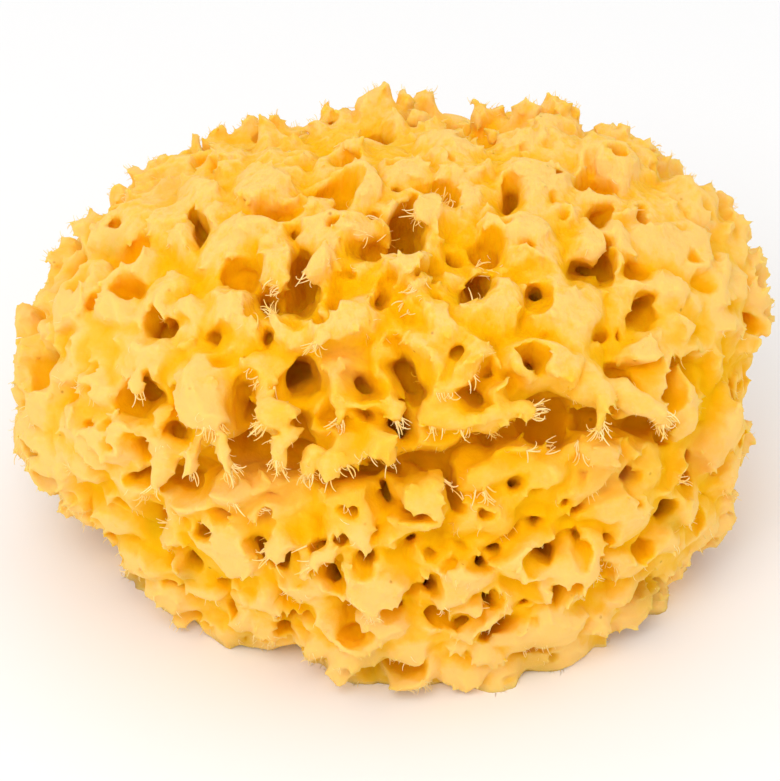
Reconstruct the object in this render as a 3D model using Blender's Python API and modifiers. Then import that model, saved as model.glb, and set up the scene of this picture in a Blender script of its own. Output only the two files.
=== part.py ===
"""A natural honeycomb bath sponge, dried, and cut off flat underneath.

It is one grown body: a broad dome of lobes, opened by pores of many sizes, with one long
crevice across its front. Units are metres, +Z is up and the front faces -Y.
"""
import math
import random

import bmesh
import bpy
from mathutils import Vector, noise
from mathutils.bvhtree import BVHTree

MM = 0.001

# The plain body, before lobes and pores
HALF_LENGTH = 73 * MM
HALF_DEPTH = 57.5 * MM
WIDEST_HEIGHT = 40 * MM
CROWN_RISE = 51.5 * MM
FOOT_DROP = 62 * MM
FOOT_FULLNESS = 2.7
CENTRING = Vector((0.7, 2.0, 0.0)) * MM

# The front is laid out as it is seen from 36 degrees above the horizon
VIEW_RISE = math.radians(36)
VIEW_DISTANCE = 900 * MM
VIEW_DROP = 4.1 * MM
VIEW_HALF_HEIGHT = 58 * MM
ACROSS = Vector((1, 0, 0))
TO_VIEWER = Vector((0, -math.cos(VIEW_RISE), math.sin(VIEW_RISE)))
VIEW_UP = Vector((0, math.sin(VIEW_RISE), math.cos(VIEW_RISE)))
BODY_CENTRE = Vector((0, 0, WIDEST_HEIGHT))
VIEW_CENTRE = BODY_CENTRE - VIEW_UP * VIEW_DROP
VIEWER = VIEW_CENTRE + TO_VIEWER * VIEW_DISTANCE

# Depths of the openings in mm
DISH = 3
CUP = 6.5
PORE = 11.5
SHAFT = 17

# Growth of the body: gentle swells as height and waves per metre, then the lobes
NOISE_SEED = 5
GROWTH_SEED = 11
SWELLS = ((2.2 * MM, 55), (1.3 * MM, 120))
LOBE_SIZE = 13.3 * MM
LOBE_BEND = 4 * MM
LOBE_BEND_WAVES = 80
LOBE_RISE = 2.0 * MM
LOBE_GAP = 2.4 * MM
DOME_REACH = 0.8
DOME_LEVEL = 0.4
CREASE_REACH = 0.30
LIFT_EDGE = (0.75, 1.45)
LIFT_REACH = 20 * MM
LIMB_ROOT = 1.2 * MM
LIMB_LIFT = 0.35
LIMB_DROP = 0.12

# Fingers that stand along the outline of the front view: degrees round it, lengths and widths in mm
FINGER_SEED = 21
FINGER_SPAN = (28, 158)
FINGER_STEP = 2.6
FINGER_CHANCE = 0.75
FINGER_LEAN = 30
FINGER_LENGTHS = (2.4, 4.6)
FINGER_WIDTHS = (2.2, 4.4)
FINGER_BEND = 0.8 * MM
FINGER_PROFILE = (0.8, 1.2, 1.1, 1.0, 0.95, 0.7)
FINGER_INSET = 2 * MM
OUTLINE_REACH = 90 * MM
OUTLINE_STEP = 0.5 * MM

# The least radius of a limb or finger that this form keeps, and how the whole skin bends at the end:
# each bend as a reach and as waves per metre
SMALLEST_LIMB = 1.6 * MM
LIMB_SIDES = 10
WARPS = ((1.5 * MM, 110), (0.4 * MM, 280))

# Growth of the openings: the bowls around their mouths, and the grooves between them
BOWL_WIDTH = 1.7 * MM
BOWL_DEPTH = 3.2 * MM
BOWL_LIP = 1.5 * MM
BOWL_SHARE = 0.6
DEEP_LEAN = 0.4
SHALLOW_LEAN = 0.7
ROOF = 3
MOUTH_GAIN = 1.25
SMALLEST_PORE = 3.0 * MM
THINNEST_WALL = 1.4 * MM
GROOVE_REACH = 15 * MM
GROOVE_WALL = 5 * MM
GROOVE_CHANCE = 0.25
GROOVE_SHARE = 0.9
GROOVE_WIDTHS = (1.6 * MM, 3.0 * MM)
GROOVE_DEPTHS = (3 * MM, 6 * MM)
GROOVE_BOWL = 0.8 * MM

# The crevice: its slots' width and height as shares of its half-height, and their depth beyond it in mm
SLOT_WIDTH = 2.2
SLOT_HEIGHT = 0.85
SLOT_DEPTH = 6
SLOT_BOWL = 1 * MM

# Openings out of the front view's sight, and in the cut. The cut keeps a plain land in its middle
HIDDEN_SITES = 900
HIDDEN_SIZES = (4.5, 5.5, 7, 8.5, 10)
HIDDEN_SHAPES = (0.7, 1.5)
HIDDEN_DEPTHS = (1.1, 2.6)
HIDDEN_BOWL = 1.5 * MM
HIDDEN_BOWL_SHARE = 0.35
SIGHT_LIMIT = 0.30
LOWEST_OPENING = 1 * MM
BASE_PORES = 18
BASE_SIZES = (5, 6, 7)
BASE_REACH = 50 * MM
BASE_LAND = 14 * MM
CUT_LENGTHENING = 1.12
CUT_NARROWING = 0.86

# Mesh
PORE_VOXEL = 0.9 * MM
BODY_VOXEL = 0.9 * MM
SMOOTHING = 5
TRIANGLES = 9250
CUT_MARGIN = 30 * MM
FIRST_CUT = 1.5 * MM
SPONGIN_COLOUR = (0.89, 0.55, 0.13, 1)

# Where the seen outline departs from an even oval: the middle of each departure as an angle
# from the right, how far it reaches to each side, both in degrees, and its rise in mm
OUTLINE_BULGES = [
    (2, 10, -5.5), (38, 40, 5.5), (20, 12, 2), (62, 10, 2), (90, 85, -1.6), (107, 14, -3.5),
    (145, 20, 0.5), (166, 6, 2), (185, 13, 3), (205, 14, -3.5), (226, 44, -5), (249, 12, -5.5),
    (292, 8, 2.5), (329, 24, -3.2), (350, 14, -2.8),
]

# Lobes that stand out at the front, in mm from the view centre:
# across, up, width, height, turn in degrees, rise, droop as a share of the rise
FRONT_LOBES = [
    (-15, 14, 20, 8, 8, 3, 0.5), (-4.5, -1, 16, 8, -15, 3.5, 0.6), (-22, -2.5, 12, 6, 38, 4, 0.7),
    (-10.5, -11, 11, 9, 10, 4, 0.9), (-2, -10, 6, 7, -15, 3.5, 0.6), (10, -1, 10.5, 9, 0, 3.5, 0.7),
    (12, 9.5, 11.5, 9, 15, 3.5, 0.6), (5.5, -20, 8, 12.5, -25, 3, 0.3), (18, 0, 6, 8, -20, 3, 0.4),
    (31, 7, 18, 9, 0, 3.5, 0.7), (45, -2, 20, 6.5, -12, 4.5, 0.9), (24, -5, 7, 8, 0, 3, 0.6),
    (28.5, -16.5, 8, 5, -10, 2, 0.3), (40.5, -12, 6.5, 5, 0, 2, 0.4), (-35.5, -1, 15, 9, -10, 4, 0.7),
    (-45.5, -16, 12, 6.5, 30, 3.5, 0.8), (-36.5, -12.5, 10, 7.5, -10, 3.5, 0.8),
    (-33.5, 6.5, 12.5, 5.5, 0, 2.5, 0.4), (-9, -30, 15, 8, 12, 2.5, 0.4),
    (-22.5, -30, 6.5, 6, 30, 2.5, 0.4), (-14.5, -34.5, 8, 5, 12, 2.5, 0.4),
    (-5, -39, 12, 10.5, 0, 2.5, 0.3), (-14.5, -46, 5.5, 10, -10, 2, 0.1),
    (4.5, 25.5, 12.5, 6, 0, 3, 0.4), (-25, 32.5, 10, 5, 5, 3, 0.4), (5.5, 35, 8.5, 5, 25, 2.5, 0.2),
    (-10.5, 25.5, 10.5, 5, 0, 2, 0.3), (-16.5, 25, 7.5, 4.5, 20, 2.5, 0.4),
    (32.5, 18, 13, 9, 0, 2, 0.3), (24.5, -21.5, 5, 4.5, 0, 1.5, 0.2), (14.5, -33, 7, 6, 0, 2, 0.2),
    (24.5, -33, 9, 5, 20, 2.5, 0.3), (32.5, -36, 11, 6, 30, 3, 0.4),
]

# Openings that show at the front, in mm from the view centre:
# across, up, width, height, turn in degrees, depth
LEFT_SHOULDER = [
    (-54, 28, 7.5, 5, 0, DISH), (-39.5, 33.5, 3, 9, 20, PORE), (-25, 37.5, 11, 5, 0, CUP),
    (-31.5, 24, 7.5, 6.5, 0, CUP), (-31, 21.5, 2, 2, 0, PORE), (-53.5, 21, 5.5, 3.5, -20, CUP),
    (-60, 18, 3, 3.5, 0, DISH), (-45, 12.5, 5, 3.5, 40, SHAFT), (-49.5, 14, 3, 6.5, 15, PORE),
    (-35.5, 11.5, 3, 3, 0, SHAFT), (-42.5, 43, 1.5, 1, 0, DISH), (-49.5, 33.5, 2, 1.5, 0, DISH),
    (-32, 46, 2, 1, 0, DISH),
]
CROWN = [
    (-13, 41, 10, 6.5, 0, CUP), (-11, 38.5, 3.5, 5, 0, PORE), (1.5, 42, 2.5, 3, 0, CUP),
    (10, 40, 4.5, 5.5, 0, CUP), (2, 33.5, 6, 13, -12, SHAFT), (-4, 36.5, 2, 3, 0, CUP),
    (-7, 33.5, 1, 1, 0, CUP), (-4.5, 29, 4, 4, 0, PORE), (-8, 28, 4.5, 4.5, 0, CUP),
    (-18.5, 22.5, 6.5, 13, -12, SHAFT), (-19.5, 32, 3, 3, 0, CUP), (-9.5, 23, 2.5, 1.5, 0, PORE),
    (-12, 19.5, 1.5, 5.5, 5, PORE), (-2, 22.5, 3, 2, 0, DISH), (5, 22.5, 3, 2.5, 0, DISH),
    (18, 29, 6.5, 6.5, 0, CUP), (18.5, 26, 2, 1.5, 0, PORE), (15, 21.5, 5, 6.5, 10, PORE),
    (11, 28, 3, 4, 0, CUP), (-3, 17.5, 2.5, 2.5, 0, PORE), (-26, 18.5, 5, 6, 0, PORE),
    (-26.5, 10.5, 1.5, 4.5, 0, PORE),
]
RIGHT_SHOULDER = [
    (22.5, 39.5, 3, 7, 0, PORE), (39.5, 43, 7, 6.5, 0, CUP), (44, 48.5, 2.5, 4, 0, DISH),
    (31, 47, 3, 1.5, 0, DISH), (41, 36.5, 4.5, 6, -15, CUP), (49, 36.5, 3, 5.5, 0, DISH),
    (43, 30, 3, 1.5, 0, CUP), (37, 24, 6, 3.5, -15, SHAFT), (41, 25, 3.5, 8, 0, PORE),
    (47.5, 26, 5.5, 5.5, 0, CUP), (28, 18.5, 3.5, 3.5, 0, SHAFT), (48.5, 16, 5, 7, -25, PORE),
    (51.5, 15, 4.5, 6, 0, CUP), (43.5, 12, 2, 2.5, 0, PORE), (40.5, 12, 3, 3.5, 0, CUP),
    (61.5, 21, 4, 3.5, 0, DISH), (58, 18.5, 1.5, 2, 0, DISH), (29.5, 35, 1, 1, 0, DISH),
    (61.5, 13.5, 3, 2, 0, DISH),
]
LEFT_END = [
    (-52, -0.5, 9, 8, 0, CUP), (-50.5, 1, 5, 4, -35, PORE), (-46, 0, 2, 2.5, 0, PORE),
    (-43.5, 0.5, 2.5, 2.5, 0, CUP), (-65.5, 0, 3.5, 3.5, 0, DISH), (-60.5, 0, 1.5, 2, 0, DISH),
    (-61.5, -5.5, 3, 2, 0, DISH), (-30, 1, 4, 3.5, 0, CUP), (-30, -4, 4.5, 6, 0, PORE),
    (-44, -8.5, 5, 4.5, 0, CUP), (-38.5, -13.5, 4, 3.5, 0, DISH), (-52, -13, 3.5, 7.5, 0, CUP),
    (-57.5, -19.5, 1.5, 2, 0, CUP), (-54, -22.5, 2, 2.5, 0, DISH), (-34.5, 5.5, 2.5, 1.5, 0, DISH),
]
MIDDLE = [
    (-18.5, 2.5, 7, 5, 20, SHAFT), (2, 3.5, 4.5, 8.5, 25, PORE), (0.5, -6, 4, 8.5, 15, PORE),
    (-18, -11.5, 6, 4.5, 0, PORE), (-6.5, 2, 4.5, 4, 0, CUP), (-19.5, -6.5, 4.5, 6, 0, CUP),
    (14.5, -1, 4, 3, 0, CUP), (18, -11, 3.5, 3.5, 0, PORE), (19, 4, 1.5, 4, 30, PORE),
    (-2.5, -21.5, 3.5, 4, 0, PORE), (3.5, -23.5, 4, 1.5, 0, DISH), (11.5, -19.5, 3.5, 8.5, 0, CUP),
    (16.5, -24.5, 2.5, 1, 0, SHAFT), (3, -30, 2.5, 2.5, 0, PORE), (7.5, -32, 2, 2, 0, CUP),
    (17, -34.5, 2.5, 2.5, 0, PORE), (-5.5, -33, 3, 3, 0, CUP), (-1.5, -31, 1, 1, 0, DISH),
    (-15, -30, 3, 2.5, 0, CUP), (-23, -34, 5, 4.5, 0, PORE), (-27.5, -32, 3, 6.5, 0, SHAFT),
    (-12.5, -36.5, 3, 4, 15, PORE), (6.5, -38, 2.5, 3.5, 0, SHAFT), (19, -31, 3.5, 2.5, 0, PORE),
    (19.5, -42, 2.5, 3.5, 0, SHAFT), (27, 6, 3, 3, 0, CUP),
]
UNDER_THE_BROW = [
    (-44, -18.5, 10.5, 6, 20, PORE), (-30, -12, 9, 8.5, 0, SHAFT), (-25, -12.5, 7, 4.5, 0, SHAFT),
    (8, -14, 10.5, 2.5, -5, PORE), (31, -5.5, 12, 10.5, 0, SHAFT), (51, -7.5, 11, 5, -10, PORE),
    (54.5, -11, 3, 2, 0, PORE), (40, -6.5, 8, 4.5, 0, PORE),
]
RIGHT_END = [
    (46, 3, 6, 5, 0, CUP), (46, 2, 3.5, 2, 0, PORE), (55, 2, 3, 8.5, -15, CUP),
    (59, -17, 5.5, 8.5, 0, CUP), (48, -18, 4, 4, 0, CUP), (53, -24.5, 4, 5, 0, PORE),
    (61, -27.5, 6.5, 4.5, 20, DISH), (63, -2, 1.5, 1.5, 0, DISH), (61.5, -6.5, 3.5, 3, 0, DISH),
    (67.5, -7, 3, 2.5, 0, DISH),
]
LOWER_LEFT = [
    (-46.5, -24, 3, 2, 0, PORE), (-48.5, -26, 4.5, 8.5, 0, CUP), (-38.5, -27.5, 3.5, 4, 0, CUP),
    (-47.5, -32.5, 4, 6.5, 0, DISH), (-40, -34.5, 4, 4.5, 0, PORE), (-43, -32, 3.5, 3, 0, CUP),
    (-45, -40.5, 7.5, 4, -15, DISH), (-33.5, -45, 4.5, 3, 20, CUP), (-21.5, -47.5, 4, 2.5, 0, CUP),
    (-19, -44, 5, 2, 0, DISH), (-26.5, -50, 3, 3, 0, DISH), (-35.5, -39, 4.5, 3, 0, DISH),
]
LOWER_RIGHT = [
    (24, -19.5, 2.5, 2.5, 0, PORE), (28, -21.5, 2.5, 2, 0, CUP), (33.5, -22.5, 2, 2, 0, CUP),
    (37.5, -23.5, 2.5, 2, 0, CUP), (27, -26, 2.5, 2.5, 0, PORE), (36, -28.5, 2.5, 2.5, 0, PORE),
    (42, -29.5, 2, 2.5, 0, CUP), (29, -32.5, 5, 3, 0, SHAFT), (50, -30.5, 5.5, 3, 0, DISH),
    (32.5, -40, 3, 5.5, 0, CUP), (42.5, -38, 2, 2, 0, CUP), (40, -36.5, 6, 5, 0, DISH),
]
FOOT = [
    (21, -47, 8, 2.5, 35, PORE), (7.5, -45.5, 6.5, 6, 0, CUP), (12.5, -46.5, 4.5, 4, 0, CUP),
    (-0.5, -43, 4, 3, 0, CUP), (14.5, -53.5, 1.5, 2.5, 0, DISH), (-10, -45, 4.5, 10, 0, CUP),
    (-8.5, -49, 5, 4.5, 0, CUP), (-4.5, -47.5, 2, 1.5, 0, CUP), (1, -55, 10, 3.5, -10, CUP),
    (27, -53, 8.5, 3, 15, CUP), (49, -39.5, 9, 3.5, 25, CUP), (-8, -56, 6, 2, 0, CUP),
]
FRONT_OPENINGS = (LEFT_SHOULDER + CROWN + RIGHT_SHOULDER + LEFT_END + MIDDLE + UNDER_THE_BROW
                  + RIGHT_END + LOWER_LEFT + LOWER_RIGHT + FOOT)

# Limbs in which the front's lobes end, in mm from the view centre:
# across, up, length, width, turn in degrees
FRONT_LIMBS = [
    (-45.5, -12, 8.5, 3, -117), (-40.5, -10.5, 5.5, 3, -76), (-35.5, -7.5, 8.5, 2, -65),
    (-21, -2, 8, 3.5, -140), (-21, -6.5, 9.5, 3, -104), (-15.5, -10.5, 7, 3, -107),
    (-12, -12.5, 4.5, 3.5, -100), (-3, -0.5, 5.5, 3, -54), (-2, -9.5, 5.5, 3, -57),
    (-10, -3, 4, 1.5, -115), (-20.5, -29, 6, 3, -144), (-12, -31, 7, 3, -148),
    (-40.5, 1.5, 8, 4.5, -59), (-52.5, 4.5, 6, 2.5, -50), (35.5, -1.5, 6.5, 1.8, -90),
    (40, -0.5, 7, 1.8, -80), (42.5, 1.5, 14, 4, -24), (23.5, -4, 5, 3, 9),
    (24.5, -9.5, 5.5, 2.5, -10), (9, 37, 7, 4, -154), (-13, 26.5, 6, 4, -150),
    (6.5, 23.5, 4, 2.2, -127), (13.5, 24.5, 4, 2, 5), (13.5, 16, 4, 2, 47),
    (-24, 14.5, 2.5, 2, 138), (-14, 13, 4.5, 2.5, -124),
]
LIMB_PROFILE = (0.7, 1.3, 1.15, 0.9, 0.7, 0.45)

# The crevice under the brow, from left to right: across, up and half-height in mm
CREVICE = [
    (-50.5, -18.5, 4), (-44, -18.5, 5), (-37.5, -16, 5), (-30, -12, 7), (-24, -13.5, 6),
    (-17, -16, 4), (-10, -17.5, 4), (-2, -16, 4), (4.5, -14, 4), (11, -14, 4),
    (17.5, -11, 4.5), (24.5, -8.5, 5), (31, -6.5, 7), (40, -6.5, 5.5), (48, -7.5, 5),
    (55.5, -10, 4),
]


def ease(low, high, value):
    """Rise smoothly from 0 at low to 1 at high."""
    share = min(1, max(0, (value - low) / (high - low)))
    return share * share * (3 - 2 * share)


def wobble(point, per_metre, seed=0.0):
    """A smooth random vector that changes over 1 / per_metre."""
    return noise.noise_vector(point * per_metre + Vector((seed, seed * 1.7, -seed)))


def outline_shift(point):
    """How far a point moves across the line of sight to give the outline its bulges."""
    offset = point - VIEW_CENTRE
    across = offset.dot(ACROSS)
    up = offset.dot(VIEW_UP)
    angle = math.degrees(math.atan2(up, across))
    rise = 0
    for middle, reach, height in OUTLINE_BULGES:
        apart = abs((angle - middle + 180) % 360 - 180)
        rise += height * MM * (1 - ease(0, reach, apart))
    outer = ease(0.5, 1, math.hypot(across / HALF_LENGTH, up / VIEW_HALF_HEIGHT))
    return turned_side(angle) * (rise * outer)


def turned_side(turn):
    """The width direction of a form that is turned in the front view."""
    angle = math.radians(turn)
    return ACROSS * math.cos(angle) + VIEW_UP * math.sin(angle)


def plain_body(subdivisions):
    """The rounded body: an ellipsoid above its widest section and a fuller curve below it."""
    mesh = bmesh.new()
    bmesh.ops.create_icosphere(mesh, subdivisions=subdivisions, radius=1)
    for vert in mesh.verts:
        x, y, z = vert.co
        rise = CROWN_RISE
        if z < 0:
            rise = FOOT_DROP
            spread = max(0, 1 - abs(z) ** FOOT_FULLNESS) ** (1 / FOOT_FULLNESS)
            widen = spread / max(math.hypot(x, y), 1e-6)
            x, y = x * widen, y * widen
        point = BODY_CENTRE + Vector((HALF_LENGTH * x, HALF_DEPTH * y, rise * z))
        outward = Vector((x / HALF_LENGTH, y / HALF_DEPTH, z / CROWN_RISE)).normalized()
        swell = sum(height * noise.noise(point * waves + ACROSS) for height, waves in SWELLS)
        vert.co = point + outward * swell + outline_shift(point)
    mesh.normal_update()
    return mesh


def seen_point(body_tree, across, up):
    """The body's surface at a place of the front view, its normal and the line of sight."""
    target = VIEW_CENTRE + ACROSS * (across * MM) + VIEW_UP * (up * MM)
    sight = (target - VIEWER).normalized()
    point, normal, _, _ = body_tree.ray_cast(VIEWER, sight)
    if point is None:
        point, normal, _, _ = body_tree.find_nearest(target)
    return point, normal, sight


def front_lobes(body_tree):
    """Place each lobe of the front on the body."""
    lobes = []
    for across, up, width, height, turn, rise, droop in FRONT_LOBES:
        point, normal, _ = seen_point(body_tree, across, up)
        side = turned_side(turn)
        side = (side - normal * side.dot(normal)).normalized()
        along = normal.cross(side).normalized()
        slant = max(0.5, abs(along.dot(VIEW_UP)))
        lobes.append((point, side / (width * MM / 2), along / (height * MM / 2 / slant), rise * MM, droop))
    return lobes


def lobe_lift(point, normal, lobes):
    """How far the front lobes lift a point of the body, drooping as they stand out."""
    lift = Vector()
    for centre, side, along, rise, droop in lobes:
        offset = point - centre
        if offset.length < LIFT_REACH:
            reach = math.hypot(offset.dot(side), offset.dot(along))
            lift += (normal - VIEW_UP * droop) * (rise * (1 - ease(*LIFT_EDGE, reach)))
    return lift


def lobed_body(subdivisions, body_tree):
    """The body with its domed lobes, the creases between them and the front lobes."""
    mesh = plain_body(subdivisions)
    lobes = front_lobes(body_tree)
    moves = []
    for vert in mesh.verts:
        bent = vert.co + wobble(vert.co, LOBE_BEND_WAVES) * LOBE_BEND
        near, _ = noise.voronoi(bent / LOBE_SIZE)
        dome = 1 - min(1, near[0] / DOME_REACH) ** 2
        crease = 1 - ease(0, CREASE_REACH, near[1] - near[0])
        move = vert.normal * (LOBE_RISE * (dome - DOME_LEVEL) - LOBE_GAP * crease)
        if vert.normal.dot(TO_VIEWER) > -0.1:
            move += lobe_lift(vert.co, vert.normal, lobes)
        moves.append(move)
    for vert, move in zip(mesh.verts, moves):
        vert.co += move
    return mesh


def mesh_object(name, mesh, collection):
    """Put a bmesh into an object of a collection."""
    data = bpy.data.meshes.new(name)
    mesh.to_mesh(data)
    mesh.free()
    made = bpy.data.objects.new(name, data)
    collection.objects.link(made)
    return made


def join(first, parts):
    """Join parts into the first of them."""
    with bpy.context.temp_override(active_object=first, object=first, selected_editable_objects=parts):
        bpy.ops.object.join()
    return first


class Channels:
    """Bent funnels that open the body, collected as cutters."""

    TAPER = 0.35
    COARSE = (0.35, 1.6 * MM)
    FINE = (0.1, 0.4 * MM)

    def __init__(self, collection):
        self.collection = collection
        self.cutters = []
        ball = bmesh.new()
        bmesh.ops.create_icosphere(ball, subdivisions=3, radius=1)
        self.ball = bpy.data.meshes.new("ball")
        ball.to_mesh(self.ball)
        ball.free()

    def add(self, mouth, inward, side, size, depth, bowl, seed, bend=0.3, outside=8 * MM):
        """A funnel of a width and height at its mouth, running inward and ending round."""
        width, height = size
        side = (side - inward * side.dot(inward)).normalized()
        along = inward.cross(side).normalized()
        drift = wobble(mouth, 300, seed) * depth * bend
        narrow = min(width, height)
        coarse, fine = [min(narrow * share, most) for share, most in (self.COARSE, self.FINE)]
        shaped = self.ball.copy()
        for vert in shaped.vertices:
            x, y, z = vert.co
            square = (1 - z ** 4) ** 0.25 / max(math.hypot(x, y), 1e-6) if abs(z) < 1 else 0
            inside = max(0, z)
            run = z * (depth if z > 0 else outside)
            wider = bowl * (1 - ease(-BOWL_LIP, BOWL_DEPTH, run))
            narrowing = 1 - self.TAPER * inside
            point = mouth + inward * run + drift * inside ** 2
            point += side * (x * square * (narrowing * width / 2 + wider))
            point += along * (y * square * (narrowing * height / 2 + wider))
            vert.co = point + wobble(point, 150, seed) * coarse + wobble(point, 420, seed + 3) * fine
        cutter = bpy.data.objects.new("channel", shaped)
        self.collection.objects.link(cutter)
        self.cutters.append(cutter)

    def joined(self):
        """All the channels as one object."""
        return join(self.cutters[0], self.cutters)


def front_openings(channels, body_tree):
    """Openings that show at the front. Returns where each is, its radius and its normal."""
    sites = []
    for number, (across, up, width, height, turn, depth) in enumerate(FRONT_OPENINGS):
        point, normal, sight = seen_point(body_tree, across, up)
        size = math.sqrt(width * height)
        bowl = BOWL_WIDTH * min(1, size / 4) * (1 if depth > CUP else BOWL_SHARE)
        sites.append((point, size * MM / 2 + bowl * BOWL_SHARE, normal))
        if size < SMALLEST_PORE / MM:
            continue
        lean = DEEP_LEAN if depth > CUP else SHALLOW_LEAN
        inward = (sight * (1 - lean) - normal * lean).normalized()
        mouth = (width * MOUTH_GAIN * MM, height * MOUTH_GAIN * MM)
        channels.add(point, inward, turned_side(turn), mouth, (depth + ROOF) * MM, bowl, number * 0.37)
    return sites


def crevice(channels, body_tree):
    """The long crevice across the front, two overlapping slots for each of its points."""
    for start, end in zip(CREVICE, CREVICE[1:]):
        for share in (0, 0.5):
            across, up, half = [a + (b - a) * share for a, b in zip(start, end)]
            point, normal, sight = seen_point(body_tree, across, up)
            inward = (sight * 0.7 - normal * 0.2 + VIEW_UP * 0.15).normalized()
            slot = (half * SLOT_WIDTH * MM, half * SLOT_HEIGHT * MM)
            channels.add(point, inward, ACROSS, slot, (SLOT_DEPTH + half) * MM, SLOT_BOWL, across * 0.5, 0.2)


def golden_points(count):
    """Points spread evenly over a unit ball's surface."""
    turn = math.pi * (3 - math.sqrt(5))
    for number in range(count):
        z = 1 - 2 * (number + 0.5) / count
        radius = math.sqrt(1 - z * z)
        yield Vector((radius * math.cos(number * turn), radius * math.sin(number * turn), z))


def hidden_openings(channels, body_tree, sites, chance):
    """Openings all round the rest of the body, none closer than a wall's width."""
    directions = list(golden_points(HIDDEN_SITES))
    chance.shuffle(directions)
    for number, direction in enumerate(directions):
        direction = (direction + wobble(direction, 9, 4) * 0.08).normalized()
        point, normal, _, _ = body_tree.ray_cast(BODY_CENTRE, direction)
        size = chance.choice(HIDDEN_SIZES) * MM
        if point.z < LOWEST_OPENING or normal.dot(TO_VIEWER) > SIGHT_LIMIT:
            continue
        bowl = min(HIDDEN_BOWL, size * HIDDEN_BOWL_SHARE)
        clear = size / 2 + THINNEST_WALL
        if any((point - other).length < radius + clear for other, radius, _ in sites):
            continue
        sites.append((point, size / 2 + bowl * BOWL_SHARE, normal))
        side = Vector([chance.uniform(-1, 1) for _ in range(3)])
        inward = (wobble(point, 200, 2) * 0.5 - normal).normalized()
        mouth = (size, size * chance.uniform(*HIDDEN_SHAPES))
        channels.add(point, inward, side, mouth, size * chance.uniform(*HIDDEN_DEPTHS), bowl, number * 0.21)


def grooves(channels, sites, chance):
    """Shallow grooves that run from one opening into the next."""
    for number, (start, start_radius, start_normal) in enumerate(sites):
        for end, end_radius, end_normal in sites[number + 1:]:
            apart = (end - start).length
            wall = apart - start_radius - end_radius
            small = min(start_radius, end_radius) < SMALLEST_PORE / 2
            if wall > GROOVE_WALL or apart > GROOVE_REACH or small:
                continue
            if chance.random() > GROOVE_CHANCE:
                continue
            inward = -(start_normal + end_normal).normalized()
            size = (apart * GROOVE_SHARE, chance.uniform(*GROOVE_WIDTHS))
            channels.add((start + end) / 2, inward, end - start, size, chance.uniform(*GROOVE_DEPTHS),
                         GROOVE_BOWL, number * 0.13, 0.1)


def base_pores(channels, chance):
    """Pores that the flat cut lays open, around a plain land in the middle."""
    turn = math.pi * (3 - math.sqrt(5))
    for number in range(BASE_PORES):
        reach = BASE_LAND + (BASE_REACH - BASE_LAND) * math.sqrt((number + 0.5) / BASE_PORES)
        angle = number * turn
        point = Vector((math.cos(angle) * CUT_LENGTHENING, math.sin(angle) * CUT_NARROWING, 0)) * reach
        size = chance.choice(BASE_SIZES) * MM
        inward = (Vector((0, 0, 1)) + wobble(point, 90, 3) * 0.3).normalized()
        channels.add(point, inward, ACROSS, (size, size * chance.uniform(0.7, 1.2)), size * 1.3, 0,
                     number * 0.31, outside=FOOT_DROP)


def evaluated(source, name, collection):
    """A new object with the source's modifiers applied. The source is removed."""
    graph = bpy.context.evaluated_depsgraph_get()
    data = bpy.data.meshes.new_from_object(source.evaluated_get(graph))
    made = bpy.data.objects.new(name, data)
    collection.objects.link(made)
    bpy.data.objects.remove(source)
    return made


def remesh(target, voxel, smoothing=0):
    """Make one skin of overlapping forms."""
    skin = target.modifiers.new("skin", "REMESH")
    skin.mode = "VOXEL"
    skin.voxel_size = voxel
    if smoothing:
        relaxed = target.modifiers.new("relaxed", "SMOOTH")
        relaxed.factor = 0.5
        relaxed.iterations = smoothing


def subtract(target, cutter):
    """Cut one closed mesh from another."""
    cut = target.modifiers.new("cut", "BOOLEAN")
    cut.operation = "DIFFERENCE"
    cut.solver = "EXACT"
    cut.object = cutter


def keep_largest(mesh):
    """Drop the crumbs and the bubbles, which are shells of their own."""
    left = set(mesh.verts)
    shells = []
    while left:
        grown = {left.pop()}
        edge = list(grown)
        while edge:
            vert = edge.pop()
            for link in vert.link_edges:
                other = link.other_vert(vert)
                if other in left:
                    left.remove(other)
                    grown.add(other)
                    edge.append(other)
        shells.append(grown)
    largest = max(shells, key=len)
    loose = [vert for shell in shells if shell is not largest for vert in shell]
    bmesh.ops.delete(mesh, geom=loose, context="VERTS")


def cut_flat(body, name, height, collection):
    """Take off everything below a height."""
    block = bmesh.new()
    bmesh.ops.create_cube(block, size=1)
    deep = FOOT_DROP + CUT_MARGIN
    wide = 2 * HALF_LENGTH + 2 * CUT_MARGIN
    bmesh.ops.scale(block, vec=(wide, wide, deep), verts=block.verts)
    bmesh.ops.translate(block, vec=(0, 0, height - deep / 2), verts=block.verts)
    cutter = mesh_object("base cut", block, collection)
    subtract(body, cutter)
    body = evaluated(body, name, collection)
    bpy.data.objects.remove(cutter)
    return body


def tube(name, path, radii, sides, collection):
    """A closed tube along a path, with a radius at each of its points."""
    mesh = bmesh.new()
    angles = [2 * math.pi * corner / sides for corner in range(sides)]
    loops = []
    for number, (point, radius) in enumerate(zip(path, radii)):
        ahead = path[min(number + 1, len(path) - 1)] - path[max(number - 1, 0)]
        turn = ahead.to_track_quat("Z", "Y")
        ring = [turn @ Vector((math.cos(angle), math.sin(angle), 0)) for angle in angles]
        loops.append([mesh.verts.new(point + spoke * radius) for spoke in ring])
    for first, second in zip(loops, loops[1:]):
        for corner in range(sides):
            other = (corner + 1) % sides
            mesh.faces.new((first[corner], first[other], second[other], second[corner]))
    mesh.faces.new(loops[0][::-1])
    mesh.faces.new(loops[-1])
    return mesh_object(name, mesh, collection)


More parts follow.
